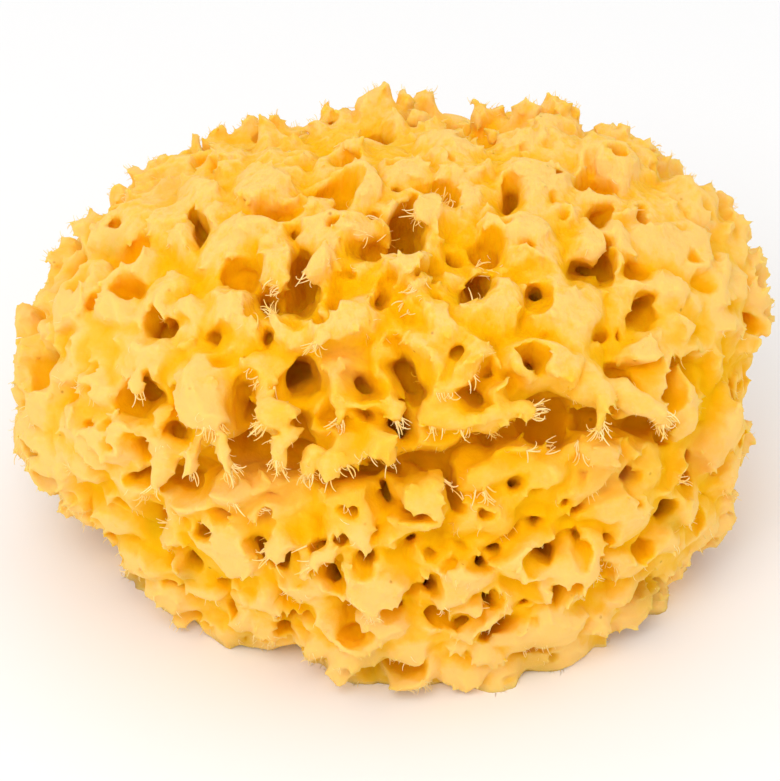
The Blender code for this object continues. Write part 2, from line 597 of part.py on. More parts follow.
def limb_path(start, normal, way, length):
    """The middle line of a limb that leaves the skin and droops."""
    steps = len(LIMB_PROFILE) - 1
    along = (way - normal * way.dot(normal)).normalized()
    path = []
    for step in range(steps + 1):
        share = step / steps
        lift = normal * (length * LIMB_LIFT * share * (1.3 - share))
        drop = VIEW_UP * (length * LIMB_DROP * share ** 2)
        point = start - normal * LIMB_ROOT + along * (length * share) + lift - drop
        path.append(point + wobble(point, 260, 5) * (0.6 * MM * share))
    return path


def outline_point(tree, angle):
    """The body's surface at its outline in the front view, at an angle round it."""
    way = turned_side(angle)
    reach = OUTLINE_REACH
    point = None
    while point is None:
        reach -= OUTLINE_STEP
        target = VIEW_CENTRE + way * reach
        point = tree.ray_cast(VIEWER, (target - VIEWER).normalized())[0]
    return point


def finger_path(root, way, length):
    """The middle line of a finger that stands straight out, a little bent."""
    steps = len(FINGER_PROFILE) - 1
    path = []
    for step in range(steps + 1):
        share = step / steps
        point = root + way * (length * share)
        path.append(point + wobble(point, 260, 5) * (FINGER_BEND * share))
    return path


def outline_fingers(lobed_tree):
    """The fingers along the outline: the middle line and the radii of each."""
    chance = random.Random(FINGER_SEED)
    angle, last = FINGER_SPAN
    fingers = []
    while angle < last:
        lean = chance.uniform(-FINGER_LEAN, FINGER_LEAN)
        length = chance.uniform(*FINGER_LENGTHS) * MM
        width = chance.uniform(*FINGER_WIDTHS) * MM
        if chance.random() < FINGER_CHANCE:
            way = turned_side(angle + lean)
            root = outline_point(lobed_tree, angle) - way * FINGER_INSET
            path = finger_path(root, way, length)
            fingers.append((path, [width / 2 * share for share in FINGER_PROFILE]))
        angle += FINGER_STEP
    return fingers


def front_limbs(lobed_tree):
    """The limbs of the front: the middle line and the radii of each."""
    limbs = []
    for across, up, length, width, turn in FRONT_LIMBS:
        point, normal, _ = seen_point(lobed_tree, across, up)
        path = limb_path(point, normal, turned_side(turn), length * MM)
        limbs.append((path, [width * MM / 2 * share for share in LIMB_PROFILE]))
    return limbs


def add_limbs(body, lobed_tree, collection):
    """Set the thicker limbs of the front and the thicker fingers of the outline on the body."""
    parts = [body]
    for path, radii in front_limbs(lobed_tree) + outline_fingers(lobed_tree):
        if max(radii) >= SMALLEST_LIMB:
            parts.append(tube("limb", path, radii, LIMB_SIDES, collection))
    return join(body, parts)


def warp(data):
    """Bend the whole skin a little, so that no wall stays straight."""
    for vert in data.vertices:
        bends = [wobble(vert.co, waves, waves) * reach for reach, waves in WARPS]
        vert.co += sum(bends, Vector())


def spongin():
    """Dried golden sponge skeleton."""
    material = bpy.data.materials.new("spongin")
    material.use_nodes = True
    shader = material.node_tree.nodes["Principled BSDF"]
    shader.inputs["Base Color"].default_value = SPONGIN_COLOUR
    shader.inputs["Roughness"].default_value = 0.9
    shader.inputs["Metallic"].default_value = 0.0
    return material


def sponge(collection, cutters):
    """Grow the body, open it, cut it flat and bring it down to its faceted form."""
    plain = plain_body(6)
    body_tree = BVHTree.FromBMesh(plain)
    plain.free()
    chance = random.Random(GROWTH_SEED)
    channels = Channels(cutters)
    sites = front_openings(channels, body_tree)
    crevice(channels, body_tree)
    hidden_openings(channels, body_tree, sites, chance)
    grooves(channels, sites, chance)
    base_pores(channels, chance)
    holes = channels.joined()
    remesh(holes, PORE_VOXEL)
    holes = evaluated(holes, "holes", cutters)

    lobed = lobed_body(6, body_tree)
    lobed_tree = BVHTree.FromBMesh(lobed)
    body = mesh_object("body", lobed, cutters)
    subtract(body, holes)
    body = evaluated(body, "opened", cutters)
    bpy.data.objects.remove(holes)
    body = add_limbs(body, lobed_tree, cutters)
    remesh(body, BODY_VOXEL, SMOOTHING)
    body = evaluated(body, "grown", cutters)
    warp(body.data)
    body = cut_flat(body, "rough cut", -FIRST_CUT, cutters)

    whole = bmesh.new()
    whole.from_mesh(body.data)
    keep_largest(whole)
    bmesh.ops.translate(whole, vec=CENTRING, verts=whole.verts)
    bmesh.ops.triangulate(whole, faces=whole.faces)
    share = TRIANGLES / len(whole.faces)
    whole.to_mesh(body.data)
    whole.free()
    thinned = body.modifiers.new("thinned", "DECIMATE")
    thinned.ratio = share
    body = evaluated(body, "thinned", cutters)
    made = cut_flat(body, "sponge", 0, collection)
    made.data.name = "sponge"
    made.data.materials.clear()
    made.data.materials.append(spongin())
    return made


def main():
    for old in list(bpy.data.objects):
        bpy.data.objects.remove(old)
    noise.seed_set(NOISE_SEED)
    collection = bpy.data.collections.new("sea sponge")
    cutters = bpy.data.collections.new("cutters")
    bpy.context.scene.collection.children.link(collection)
    bpy.context.scene.collection.children.link(cutters)
    sponge(collection, cutters)


main()
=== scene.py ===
import math
import random

import bmesh
import bpy
import numpy as np
from bpy.props import FloatProperty, FloatVectorProperty, IntProperty, PointerProperty
from mathutils import Matrix, Quaternion, Vector, noise
from mathutils.bvhtree import BVHTree


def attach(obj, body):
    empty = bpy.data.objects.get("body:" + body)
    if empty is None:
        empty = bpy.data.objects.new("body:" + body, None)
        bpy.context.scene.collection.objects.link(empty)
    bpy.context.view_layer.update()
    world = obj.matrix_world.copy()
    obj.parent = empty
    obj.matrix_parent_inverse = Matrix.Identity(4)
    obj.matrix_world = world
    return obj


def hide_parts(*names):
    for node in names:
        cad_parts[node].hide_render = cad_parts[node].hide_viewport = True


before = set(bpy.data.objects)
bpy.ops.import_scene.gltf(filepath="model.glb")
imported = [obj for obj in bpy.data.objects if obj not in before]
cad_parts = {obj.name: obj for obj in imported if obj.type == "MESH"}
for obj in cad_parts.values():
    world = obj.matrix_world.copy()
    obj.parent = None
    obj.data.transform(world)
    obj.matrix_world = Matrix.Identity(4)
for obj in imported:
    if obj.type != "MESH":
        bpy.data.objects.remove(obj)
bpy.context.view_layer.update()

bl_info = {
    "name": "Sea sponge",
    "version": (1, 0),
    "blender": (4, 5, 0),
    "location": "3D View > Sidebar > Sea sponge",
    "description": "Grows a natural honeycomb sea sponge with its pores, lobes and loose fibre ends",
    "category": "Mesh",
}

MM = 0.001
BODY_NAME = "sponge_body"

# The plain body, before lobes and pores
HALF_LENGTH = 73 * MM
HALF_DEPTH = 57.5 * MM
WIDEST_HEIGHT = 40 * MM
CROWN_RISE = 51.5 * MM
FOOT_DROP = 62 * MM
FOOT_FULLNESS = 2.7
CENTRING = Vector((0.7, 2.0, 0.0)) * MM

# The front is laid out as it is seen from 36 degrees above the horizon
VIEW_RISE = math.radians(36)
VIEW_DISTANCE = 900 * MM
VIEW_DROP = 4.1 * MM
VIEW_HALF_HEIGHT = 58 * MM
ACROSS = Vector((1, 0, 0))
TO_VIEWER = Vector((0, -math.cos(VIEW_RISE), math.sin(VIEW_RISE)))
VIEW_UP = Vector((0, math.sin(VIEW_RISE), math.cos(VIEW_RISE)))
BODY_CENTRE = Vector((0, 0, WIDEST_HEIGHT))
VIEW_CENTRE = BODY_CENTRE - VIEW_UP * VIEW_DROP
VIEWER = VIEW_CENTRE + TO_VIEWER * VIEW_DISTANCE

# Depths of the openings in mm
DISH = 3
CUP = 6.5
PORE = 11.5
SHAFT = 17

# Growth of the body: gentle swells as height and waves per metre, then the lobes
NOISE_SEED = 5
SWELLS = ((2.2 * MM, 55), (1.3 * MM, 120))
LOBE_SIZE = 13.3 * MM
LOBE_BEND = 4 * MM
LOBE_BEND_WAVES = 80
LOBE_RISE = 2.0 * MM
LOBE_GAP = 2.4 * MM
DOME_REACH = 0.8
DOME_LEVEL = 0.4
CREASE_REACH = 0.30
LIFT_EDGE = (0.75, 1.45)
LIFT_REACH = 20 * MM
LIMB_ROOT = 1.2 * MM
LIMB_LIFT = 0.35
LIMB_DROP = 0.12
LIMB_ARCH = 1.3
LIMB_BEND = 0.6 * MM
FIBRE_WAVES = 260

# Fingers that stand along the outline of the front view: degrees round it, lengths and widths in mm
FINGER_SEED = 21
FINGER_SPAN = (28, 158)
FINGER_STEP = 2.6
FINGER_CHANCE = 0.75
FINGER_LEAN = 30
FINGER_LENGTHS = (2.4, 4.6)
FINGER_WIDTHS = (2.2, 4.4)
FINGER_BEND = 0.8 * MM
FINGER_PROFILE = (0.8, 1.2, 1.1, 1.0, 0.95, 0.7)
FINGER_INSET = 2 * MM
OUTLINE_REACH = 90 * MM
OUTLINE_STEP = 0.5 * MM
LIMB_SIDES = 10
WARPS = ((1.5 * MM, 110), (0.8 * MM, 280), (0.25 * MM, 650))

# Growth of the openings: the bowls around their mouths, and the grooves between them
BOWL_WIDTH = 1.7 * MM
BOWL_DEPTH = 3.2 * MM
BOWL_LIP = 1.5 * MM
BOWL_SHARE = 0.6
DEEP_LEAN = 0.4
SHALLOW_LEAN = 0.7
ROOF = 3
MOUTH_GAIN = 1.15
DEPTH_SHARE = 0.8
SMALLEST_PORE = 3.0 * MM
THINNEST_WALL = 1.4 * MM
GROOVE_REACH = 15 * MM
GROOVE_WALL = 5 * MM
GROOVE_CHANCE = 0.25
GROOVE_SHARE = 0.9
GROOVE_WIDTHS = (1.6 * MM, 3.0 * MM)
GROOVE_DEPTHS = (3 * MM, 6 * MM)
GROOVE_BOWL = 0.8 * MM

# The crevice: its slots' width and height as shares of its half-height, and their depth beyond it in mm
SLOT_WIDTH = 2.2
SLOT_HEIGHT = 0.85
SLOT_DEPTH = 6
SLOT_BOWL = 1 * MM
SLOT_SIGHT = 0.7
SLOT_LEAN = 0.2
SLOT_CLIMB = 0.15

# Openings out of the front view's sight, and in the cut. The cut keeps a plain land in its middle
HIDDEN_SITES = 900
HIDDEN_SIZES = (4.5, 5.5, 7, 8.5, 10)
HIDDEN_SHAPES = (0.7, 1.5)
HIDDEN_DEPTHS = (1.1, 2.6)
HIDDEN_BOWL = 1.5 * MM
HIDDEN_BOWL_SHARE = 0.35
SIGHT_LIMIT = 0.30
LOWEST_OPENING = 1 * MM
BASE_PORES = 18
BASE_SIZES = (5, 6, 7)
BASE_REACH = 50 * MM
BASE_LAND = 14 * MM
CUT_LENGTHENING = 1.12
CUT_NARROWING = 0.86

# The finest pores, between the others
FINE_SITES = 2300
FRONT_SHARE = 0.35
FINE_SIZES = (1.7, 2.1, 2.6, 3.2, 4)
FINE_BASE_PORES = 100
FINE_BASE_SIZES = (1.6, 2.2, 2.8, 3.4)
FINE_WALL = 0.8 * MM
FINE_FRONT_WALL = 1.1 * MM
FINE_FRONT_SIZE = 2.4 * MM
FINE_SHAPES = (0.7, 1.5)
FINE_DEPTHS = (0.9, 2.2)
FINE_BOWL_SHARE = 0.2
CUT_SHAPES = (0.7, 1.2)
CUT_DEPTH = 1.3
FINE_CUT_DEPTH = 1.6
CUT_MARGIN = 30 * MM

# How forms stray from an even spread: waves, seed and reach. The turn from one point of it to the next
HIDDEN_STRAY = (9, 4, 0.08)
FINE_STRAY = (14, 6, 0.06)
LIMB_STRAY = (11, 8, 0.2)
GOLDEN_TURN = math.pi * (3 - math.sqrt(5))

# Steps of the seed that bends each channel in a way of its own
FRONT_SEED_STEP = 0.37
SLOT_SEED_STEP = 0.5
HIDDEN_SEED_STEP = 0.21
FINE_SEED_STEP = 0.17
GROOVE_SEED_STEP = 0.13
CUT_SEED_STEP = 0.31

# Where the seen outline departs from an even oval: the middle of each departure as an angle
# from the right, how far it reaches to each side, both in degrees, and its rise in mm
OUTLINE_BULGES = [
    (2, 10, -5.5), (38, 40, 5.5), (20, 12, 2), (62, 10, 2), (90, 85, -1.6), (107, 14, -3.5),
    (145, 20, 0.5), (166, 6, 2), (185, 13, 3), (205, 14, -3.5), (226, 44, -5), (249, 12, -5.5),
    (292, 8, 2.5), (329, 24, -3.2), (350, 14, -2.8),
]

# Lobes that stand out at the front, in mm from the view centre:
# across, up, width, height, turn in degrees, rise, droop as a share of the rise
FRONT_LOBES = [
    (-15, 14, 20, 8, 8, 3, 0.5), (-4.5, -1, 16, 8, -15, 3.5, 0.6), (-22, -2.5, 12, 6, 38, 4, 0.7),
    (-10.5, -11, 11, 9, 10, 4, 0.9), (-2, -10, 6, 7, -15, 3.5, 0.6), (10, -1, 10.5, 9, 0, 3.5, 0.7),
    (12, 9.5, 11.5, 9, 15, 3.5, 0.6), (5.5, -20, 8, 12.5, -25, 3, 0.3), (18, 0, 6, 8, -20, 3, 0.4),
    (31, 7, 18, 9, 0, 3.5, 0.7), (45, -2, 20, 6.5, -12, 4.5, 0.9), (24, -5, 7, 8, 0, 3, 0.6),
    (28.5, -16.5, 8, 5, -10, 2, 0.3), (40.5, -12, 6.5, 5, 0, 2, 0.4), (-35.5, -1, 15, 9, -10, 4, 0.7),
    (-45.5, -16, 12, 6.5, 30, 3.5, 0.8), (-36.5, -12.5, 10, 7.5, -10, 3.5, 0.8),
    (-33.5, 6.5, 12.5, 5.5, 0, 2.5, 0.4), (-9, -30, 15, 8, 12, 2.5, 0.4),
    (-22.5, -30, 6.5, 6, 30, 2.5, 0.4), (-14.5, -34.5, 8, 5, 12, 2.5, 0.4),
    (-5, -39, 12, 10.5, 0, 2.5, 0.3), (-14.5, -46, 5.5, 10, -10, 2, 0.1),
    (4.5, 25.5, 12.5, 6, 0, 3, 0.4), (-25, 32.5, 10, 5, 5, 3, 0.4), (5.5, 35, 8.5, 5, 25, 2.5, 0.2),
    (-10.5, 25.5, 10.5, 5, 0, 2, 0.3), (-16.5, 25, 7.5, 4.5, 20, 2.5, 0.4),
    (32.5, 18, 13, 9, 0, 2, 0.3), (24.5, -21.5, 5, 4.5, 0, 1.5, 0.2), (14.5, -33, 7, 6, 0, 2, 0.2),
    (24.5, -33, 9, 5, 20, 2.5, 0.3), (32.5, -36, 11, 6, 30, 3, 0.4),
]

# Openings that show at the front, in mm from the view centre:
# across, up, width, height, turn in degrees, depth
LEFT_SHOULDER = [
    (-54, 28, 7.5, 5, 0, DISH), (-39.5, 33.5, 3, 9, 20, PORE), (-25, 37.5, 11, 5, 0, CUP),
    (-31.5, 24, 7.5, 6.5, 0, CUP), (-31, 21.5, 2, 2, 0, PORE), (-53.5, 21, 5.5, 3.5, -20, CUP),
    (-60, 18, 3, 3.5, 0, DISH), (-45, 12.5, 5, 3.5, 40, SHAFT), (-49.5, 14, 3, 6.5, 15, PORE),
    (-35.5, 11.5, 3, 3, 0, SHAFT), (-42.5, 43, 1.5, 1, 0, DISH), (-49.5, 33.5, 2, 1.5, 0, DISH),
    (-32, 46, 2, 1, 0, DISH),
]
CROWN = [
    (-13, 41, 10, 6.5, 0, CUP), (-11, 38.5, 3.5, 5, 0, PORE), (1.5, 42, 2.5, 3, 0, CUP),
    (10, 40, 4.5, 5.5, 0, CUP), (2, 33.5, 6, 13, -12, SHAFT), (-4, 36.5, 2, 3, 0, CUP),
    (-7, 33.5, 1, 1, 0, CUP), (-4.5, 29, 4, 4, 0, PORE), (-8, 28, 4.5, 4.5, 0, CUP),
    (-18.5, 22.5, 6.5, 13, -12, SHAFT), (-19.5, 32, 3, 3, 0, CUP), (-9.5, 23, 2.5, 1.5, 0, PORE),
    (-12, 19.5, 1.5, 5.5, 5, PORE), (-2, 22.5, 3, 2, 0, DISH), (5, 22.5, 3, 2.5, 0, DISH),
    (18, 29, 6.5, 6.5, 0, CUP), (18.5, 26, 2, 1.5, 0, PORE), (15, 21.5, 5, 6.5, 10, PORE),
    (11, 28, 3, 4, 0, CUP), (-3, 17.5, 2.5, 2.5, 0, PORE), (-26, 18.5, 5, 6, 0, PORE),
    (-26.5, 10.5, 1.5, 4.5, 0, PORE),
]
RIGHT_SHOULDER = [
    (22.5, 39.5, 3, 7, 0, PORE), (39.5, 43, 7, 6.5, 0, CUP), (44, 48.5, 2.5, 4, 0, DISH),
    (31, 47, 3, 1.5, 0, DISH), (41, 36.5, 4.5, 6, -15, CUP), (49, 36.5, 3, 5.5, 0, DISH),
    (43, 30, 3, 1.5, 0, CUP), (37, 24, 6, 3.5, -15, SHAFT), (41, 25, 3.5, 8, 0, PORE),
    (47.5, 26, 5.5, 5.5, 0, CUP), (28, 18.5, 3.5, 3.5, 0, SHAFT), (48.5, 16, 5, 7, -25, PORE),
    (51.5, 15, 4.5, 6, 0, CUP), (43.5, 12, 2, 2.5, 0, PORE), (40.5, 12, 3, 3.5, 0, CUP),
    (61.5, 21, 4, 3.5, 0, DISH), (58, 18.5, 1.5, 2, 0, DISH), (29.5, 35, 1, 1, 0, DISH),
    (61.5, 13.5, 3, 2, 0, DISH),
]
LEFT_END = [
    (-52, -0.5, 9, 8, 0, CUP), (-50.5, 1, 5, 4, -35, PORE), (-46, 0, 2, 2.5, 0, PORE),
    (-43.5, 0.5, 2.5, 2.5, 0, CUP), (-65.5, 0, 3.5, 3.5, 0, DISH), (-60.5, 0, 1.5, 2, 0, DISH),
    (-61.5, -5.5, 3, 2, 0, DISH), (-30, 1, 4, 3.5, 0, CUP), (-30, -4, 4.5, 6, 0, PORE),
    (-44, -8.5, 5, 4.5, 0, CUP), (-38.5, -13.5, 4, 3.5, 0, DISH), (-52, -13, 3.5, 7.5, 0, CUP),
    (-57.5, -19.5, 1.5, 2, 0, CUP), (-54, -22.5, 2, 2.5, 0, DISH), (-34.5, 5.5, 2.5, 1.5, 0, DISH),
]
MIDDLE = [
    (-18.5, 2.5, 7, 5, 20, SHAFT), (2, 3.5, 4.5, 8.5, 25, PORE), (0.5, -6, 4, 8.5, 15, PORE),
    (-18, -11.5, 6, 4.5, 0, PORE), (-6.5, 2, 4.5, 4, 0, CUP), (-19.5, -6.5, 4.5, 6, 0, CUP),
    (14.5, -1, 4, 3, 0, CUP), (18, -11, 3.5, 3.5, 0, PORE), (19, 4, 1.5, 4, 30, PORE),
    (-2.5, -21.5, 3.5, 4, 0, PORE), (3.5, -23.5, 4, 1.5, 0, DISH), (11.5, -19.5, 3.5, 8.5, 0, CUP),
    (16.5, -24.5, 2.5, 1, 0, SHAFT), (3, -30, 2.5, 2.5, 0, PORE), (7.5, -32, 2, 2, 0, CUP),
    (17, -34.5, 2.5, 2.5, 0, PORE), (-5.5, -33, 3, 3, 0, CUP), (-1.5, -31, 1, 1, 0, DISH),
    (-15, -30, 3, 2.5, 0, CUP), (-23, -34, 5, 4.5, 0, PORE), (-27.5, -32, 3, 6.5, 0, SHAFT),
    (-12.5, -36.5, 3, 4, 15, PORE), (6.5, -38, 2.5, 3.5, 0, SHAFT), (19, -31, 3.5, 2.5, 0, PORE),
    (19.5, -42, 2.5, 3.5, 0, SHAFT), (27, 6, 3, 3, 0, CUP),
]
UNDER_THE_BROW = [
    (-44, -18.5, 10.5, 6, 20, PORE), (-30, -12, 9, 8.5, 0, SHAFT), (-25, -12.5, 7, 4.5, 0, SHAFT),
    (8, -14, 10.5, 2.5, -5, PORE), (31, -5.5, 12, 10.5, 0, SHAFT), (51, -7.5, 11, 5, -10, PORE),
    (54.5, -11, 3, 2, 0, PORE), (40, -6.5, 8, 4.5, 0, PORE),
]
RIGHT_END = [
    (46, 3, 6, 5, 0, CUP), (46, 2, 3.5, 2, 0, PORE), (55, 2, 3, 8.5, -15, CUP),
    (59, -17, 5.5, 8.5, 0, CUP), (48, -18, 4, 4, 0, CUP), (53, -24.5, 4, 5, 0, PORE),
    (61, -27.5, 6.5, 4.5, 20, DISH), (63, -2, 1.5, 1.5, 0, DISH), (61.5, -6.5, 3.5, 3, 0, DISH),
    (67.5, -7, 3, 2.5, 0, DISH),
]
LOWER_LEFT = [
    (-46.5, -24, 3, 2, 0, PORE), (-48.5, -26, 4.5, 8.5, 0, CUP), (-38.5, -27.5, 3.5, 4, 0, CUP),
    (-47.5, -32.5, 4, 6.5, 0, DISH), (-40, -34.5, 4, 4.5, 0, PORE), (-43, -32, 3.5, 3, 0, CUP),
    (-45, -40.5, 7.5, 4, -15, DISH), (-33.5, -45, 4.5, 3, 20, CUP), (-21.5, -47.5, 4, 2.5, 0, CUP),
    (-19, -44, 5, 2, 0, DISH), (-26.5, -50, 3, 3, 0, DISH), (-35.5, -39, 4.5, 3, 0, DISH),
]
LOWER_RIGHT = [
    (24, -19.5, 2.5, 2.5, 0, PORE), (28, -21.5, 2.5, 2, 0, CUP), (33.5, -22.5, 2, 2, 0, CUP),
    (37.5, -23.5, 2.5, 2, 0, CUP), (27, -26, 2.5, 2.5, 0, PORE), (36, -28.5, 2.5, 2.5, 0, PORE),
    (42, -29.5, 2, 2.5, 0, CUP), (29, -32.5, 5, 3, 0, SHAFT), (50, -30.5, 5.5, 3, 0, DISH),
    (32.5, -40, 3, 5.5, 0, CUP), (42.5, -38, 2, 2, 0, CUP), (40, -36.5, 6, 5, 0, DISH),
]
FOOT = [
    (21, -47, 8, 2.5, 35, PORE), (7.5, -45.5, 6.5, 6, 0, CUP), (12.5, -46.5, 4.5, 4, 0, CUP),
    (-0.5, -43, 4, 3, 0, CUP), (14.5, -53.5, 1.5, 2.5, 0, DISH), (-10, -45, 4.5, 10, 0, CUP),
    (-8.5, -49, 5, 4.5, 0, CUP), (-4.5, -47.5, 2, 1.5, 0, CUP), (1, -55, 10, 3.5, -10, CUP),
    (27, -53, 8.5, 3, 15, CUP), (49, -39.5, 9, 3.5, 25, CUP), (-8, -56, 6, 2, 0, CUP),
]
FRONT_OPENINGS = (LEFT_SHOULDER + CROWN + RIGHT_SHOULDER + LEFT_END + MIDDLE + UNDER_THE_BROW
                  + RIGHT_END + LOWER_LEFT + LOWER_RIGHT + FOOT)

# Limbs in which the front's lobes end, in mm from the view centre:
# across, up, length, width, turn in degrees
FRONT_LIMBS = [
    (-45.5, -12, 8.5, 3, -117), (-40.5, -10.5, 5.5, 3, -76), (-35.5, -7.5, 8.5, 2, -65),
    (-21, -2, 8, 3.5, -140), (-21, -6.5, 9.5, 3, -104), (-15.5, -10.5, 7, 3, -107),
    (-12, -12.5, 4.5, 3.5, -100), (-3, -0.5, 5.5, 3, -54), (-2, -9.5, 5.5, 3, -57),
    (-10, -3, 4, 1.5, -115), (-20.5, -29, 6, 3, -144), (-12, -31, 7, 3, -148),
    (-40.5, 1.5, 8, 4.5, -59), (-52.5, 4.5, 6, 2.5, -50), (35.5, -1.5, 6.5, 1.8, -90),
    (40, -0.5, 7, 1.8, -80), (42.5, 1.5, 14, 4, -24), (23.5, -4, 5, 3, 9),
    (24.5, -9.5, 5.5, 2.5, -10), (9, 37, 7, 4, -154), (-13, 26.5, 6, 4, -150),
    (6.5, 23.5, 4, 2.2, -127), (13.5, 24.5, 4, 2, 5), (13.5, 16, 4, 2, 47),
    (-24, 14.5, 2.5, 2, 138), (-14, 13, 4.5, 2.5, -124),
]
LIMB_PROFILE = (0.7, 1.3, 1.15, 0.9, 0.7, 0.45)

# The crevice under the brow, from left to right: across, up and half-height in mm
CREVICE = [
    (-50.5, -18.5, 4), (-44, -18.5, 5), (-37.5, -16, 5), (-30, -12, 7), (-24, -13.5, 6),
    (-17, -16, 4), (-10, -17.5, 4), (-2, -16, 4), (4.5, -14, 4), (11, -14, 4),
    (17.5, -11, 4.5), (24.5, -8.5, 5), (31, -6.5, 7), (40, -6.5, 5.5), (48, -7.5, 5),
    (55.5, -10, 4),
]

# Tufts of curled fibre ends at the front, in mm from the view centre: across, up, turn in degrees
FRONT_TUFTS = [
    (-23.5, 5.5, -100), (9.5, 4.5, -90), (14, 4, -60), (-10.5, -6, -100), (-6.5, -7, -90),
    (-1, -3.5, -60), (-27, -6.5, -140), (-22.5, -9, -100), (-24, -15, -100), (-16, -15, -100),
    (-10, -15, -80), (-33, -13.5, -70), (8.5, -4.5, -110), (13, -4, -90), (-28, 2, -130),
    (17.5, -19.5, -60), (16, -25.5, 100), (29.5, -11, 0), (28.5, -3.5, 20), (36, -7.5, -90),
    (41.5, -7.5, -70), (55, -4.5, -20), (52.5, -7, -80), (53.5, -18.5, 20), (8.5, -16, -60),
    (1.5, 35, -160), (-1, 32, -170), (10.5, 39, 50), (-20, 23.5, -150), (-19.5, 20.5, -170),
    (17.5, 25, 10), (-25.5, 16.5, 140), (-16.5, 9.5, -110), (4.5, 20.5, -130), (14, 30, -60),
    (-46.5, -5.5, -80), (-49.5, -19.5, -110), (-37.5, -4, -70), (-32, -15.5, -70),
    (-25.5, -32.5, -140), (-18, -34.5, -160), (-10, -22, -60), (-33, -20.5, -50),
    (-26, -24, -30), (-31, -42, 80), (-44.5, -26, 170),
]
TUFT_STEPS = 14
TUFT_STEP = 0.5 * MM
TUFT_BACK = 2 * MM
EDGE_FALL = 1.2 * MM
TUFT_WIDTH = 1.1 * MM

# Fibres in each bunch, and their lengths in mm: at limbs and tufts, out of sight, and at fingers
LIMB_BUNCH = ((4, 6, 8, 10), (1.2, 3.6))
HIDDEN_BUNCH = ((2, 3, 5), (1.2, 3.2))
FINGER_BUNCH = ((5, 7, 9), (0.7, 1.7))

# Small loops on the outline that light shows through: across, up, width and height in mm,
# turn in degrees
OUTLINE_LOOPS = [
    (-39.6, 48.3, 3.4, 4.2, 110), (6.7, 56.6, 3.6, 4.0, 85), (15.6, 56.6, 3.4, 4.6, 65),
    (68.2, 9.9, 3.2, 4.0, 10),
]
LOOP_INSET = 1.5 * MM
LOOP_STEPS = 8
LOOP_RADIUS = 0.6 * MM

# Patches of colour at the front, in mm from the view centre: across, up, radius. The dusty patches tint the
# skin; the greenish ones are painted shadow, in the gaps under the lower edge and in pores
DUSTY_PATCHES = [(-28, -19, 6), (-22, -19, 5), (39, -16, 6), (-44, 40, 4), (-10, 5, 4), (60, -12, 5)]
OLIVE_SHADOW_PATCHES = [(-3, -54, 6), (27, -53, 5), (49, -39.5, 5), (-54, 28, 3), (-40, -34.5, 3),
                 (-46, -26, 3), (53, -24.5, 3), (-30, -50, 4)]

# Limbs end blunt and frayed: their radii from the root to the end, and how much of their length is seen
LIMB_SHARES = (0.7, 1.35, 1.25, 1.15, 1.05, 0.85)
LIMB_REACH = 0.85
CLAW_SIZE = 1.3 * MM

HIDDEN_LIMBS = 260
HIDDEN_LIMB_LENGTHS = (3.5, 7)
HIDDEN_LIMB_WIDTHS = (1.8, 3.2)
LOWEST_LIMB = 8 * MM
LIMB_SIGHT_LIMIT = 0.35
LIMB_SPIN = 1.6
CLAW_BENDS = (0.3, 0.8, 1.4, 2.3, -0.9)

# Torn tips on the ridges: the rounds that find a ridge, the noise that leaves calm stretches without
# tips, the share left out there, and how a tip stands
RIDGE_ROUNDS = 6
CALM_WAVES = 45
CALM_SHARE = 0.6
CALM_GAIN = 0.7
LOWEST_TIP = 3 * MM
TIP_STANDING = 0.8
TIP_DROOP = 0.25
TIP_ROOT = 0.5 * MM
SHORTEST_TIP = 0.7
TIP_BENDS = (0.4, 1.0)
CLAW_COUNTS = (2, 3, 4)
CLAW_SPREAD = 0.5
CLAW_STRAY = 0.4
CLAW_SCALES = (0.7, 1.4)

# Fibres that stand on the skin: how deep their roots are, and how they spread
ROOT_DEPTH = 0.15 * MM
BUNCH_ROOT = 0.2 * MM
BUNCH_SPREAD = 0.35
BUNCH_LIFT = 0.4
BUNCH_TONES = (0.55, 0.9)
TUFT_LIFT = 0.25
CLUMP_WAVES = 420
FRINGE_LENGTHS = (0.6, 2.0)
FUZZ_LENGTHS = (0.2, 0.55)

# How far strands go along the skin's normal, with their neighbours and at random, and their droop
FRINGE_LEAN = (0.6, 0.9, 0.3, 0.45)
FUZZ_LEAN = (0.9, 0.9, 0.35, 0.1)

# Where the fringe grows: on sharp ridges, in clumps, and on what faces down
FRINGE_RIDGE = 0.35 * MM
FRINGE_RIDGE_FROM = 0.6
FRINGE_RIDGE_MOST = 1.5
FRINGE_WAVES = 160
FRINGE_GAP = 0.05
FRINGE_DOWNWARD = 0.6

# The fuzz grows where the tone is above this, and above this height
FUZZ_TONE = 0.3
FUZZ_FLOOR = 0.5 * MM
LEAST_WEIGHT = 1e-9

# Edges sharper than this stay sharp
SHARP_EDGE = math.radians(75)

# How the openness and the relief of a point are measured
SKY_RAYS = 14
SKY_REACH = 14 * MM
SKY_START = 0.1 * MM
SKY_BLOCKED = 0.6
RELIEF_ROUNDS = 50
FOOT_HEIGHT = 34 * MM
HEIGHT_RANGE = 9 * MM
HEIGHT_LEVEL = 0.75
RELIEF_RANGE = 2.4 * MM
RELIEF_LEVEL = 0.5

# What the tone is mixed of: painted shade from openness, height and the heart, painted highlight from
# relief
OPENNESS_SHARE = 0.4
HEIGHT_SHARE = 0.25
RELIEF_SHARE = 0.4
TONE_BASE = 0.05
HEART_SHARE = 0.33
FOOT_SHARE = 0.2
HEART_FULLNESS = 1.2
PATCH_FULLNESS = 1.3

# The most amber place of the front, painted shade that darkens the middle of the front view, in mm from the
# body's centre: across, up, half-width, half-height
HEART = (8, -12, 62, 42)

# Towards the outline the colour evens out to a pale tone, painted rim light: where it begins and is full,
# as shares of the heart's
RIM_EDGE = (0.95, 1.5)
RIM_EVENNESS = 0.65
RIM_TONE = 0.78
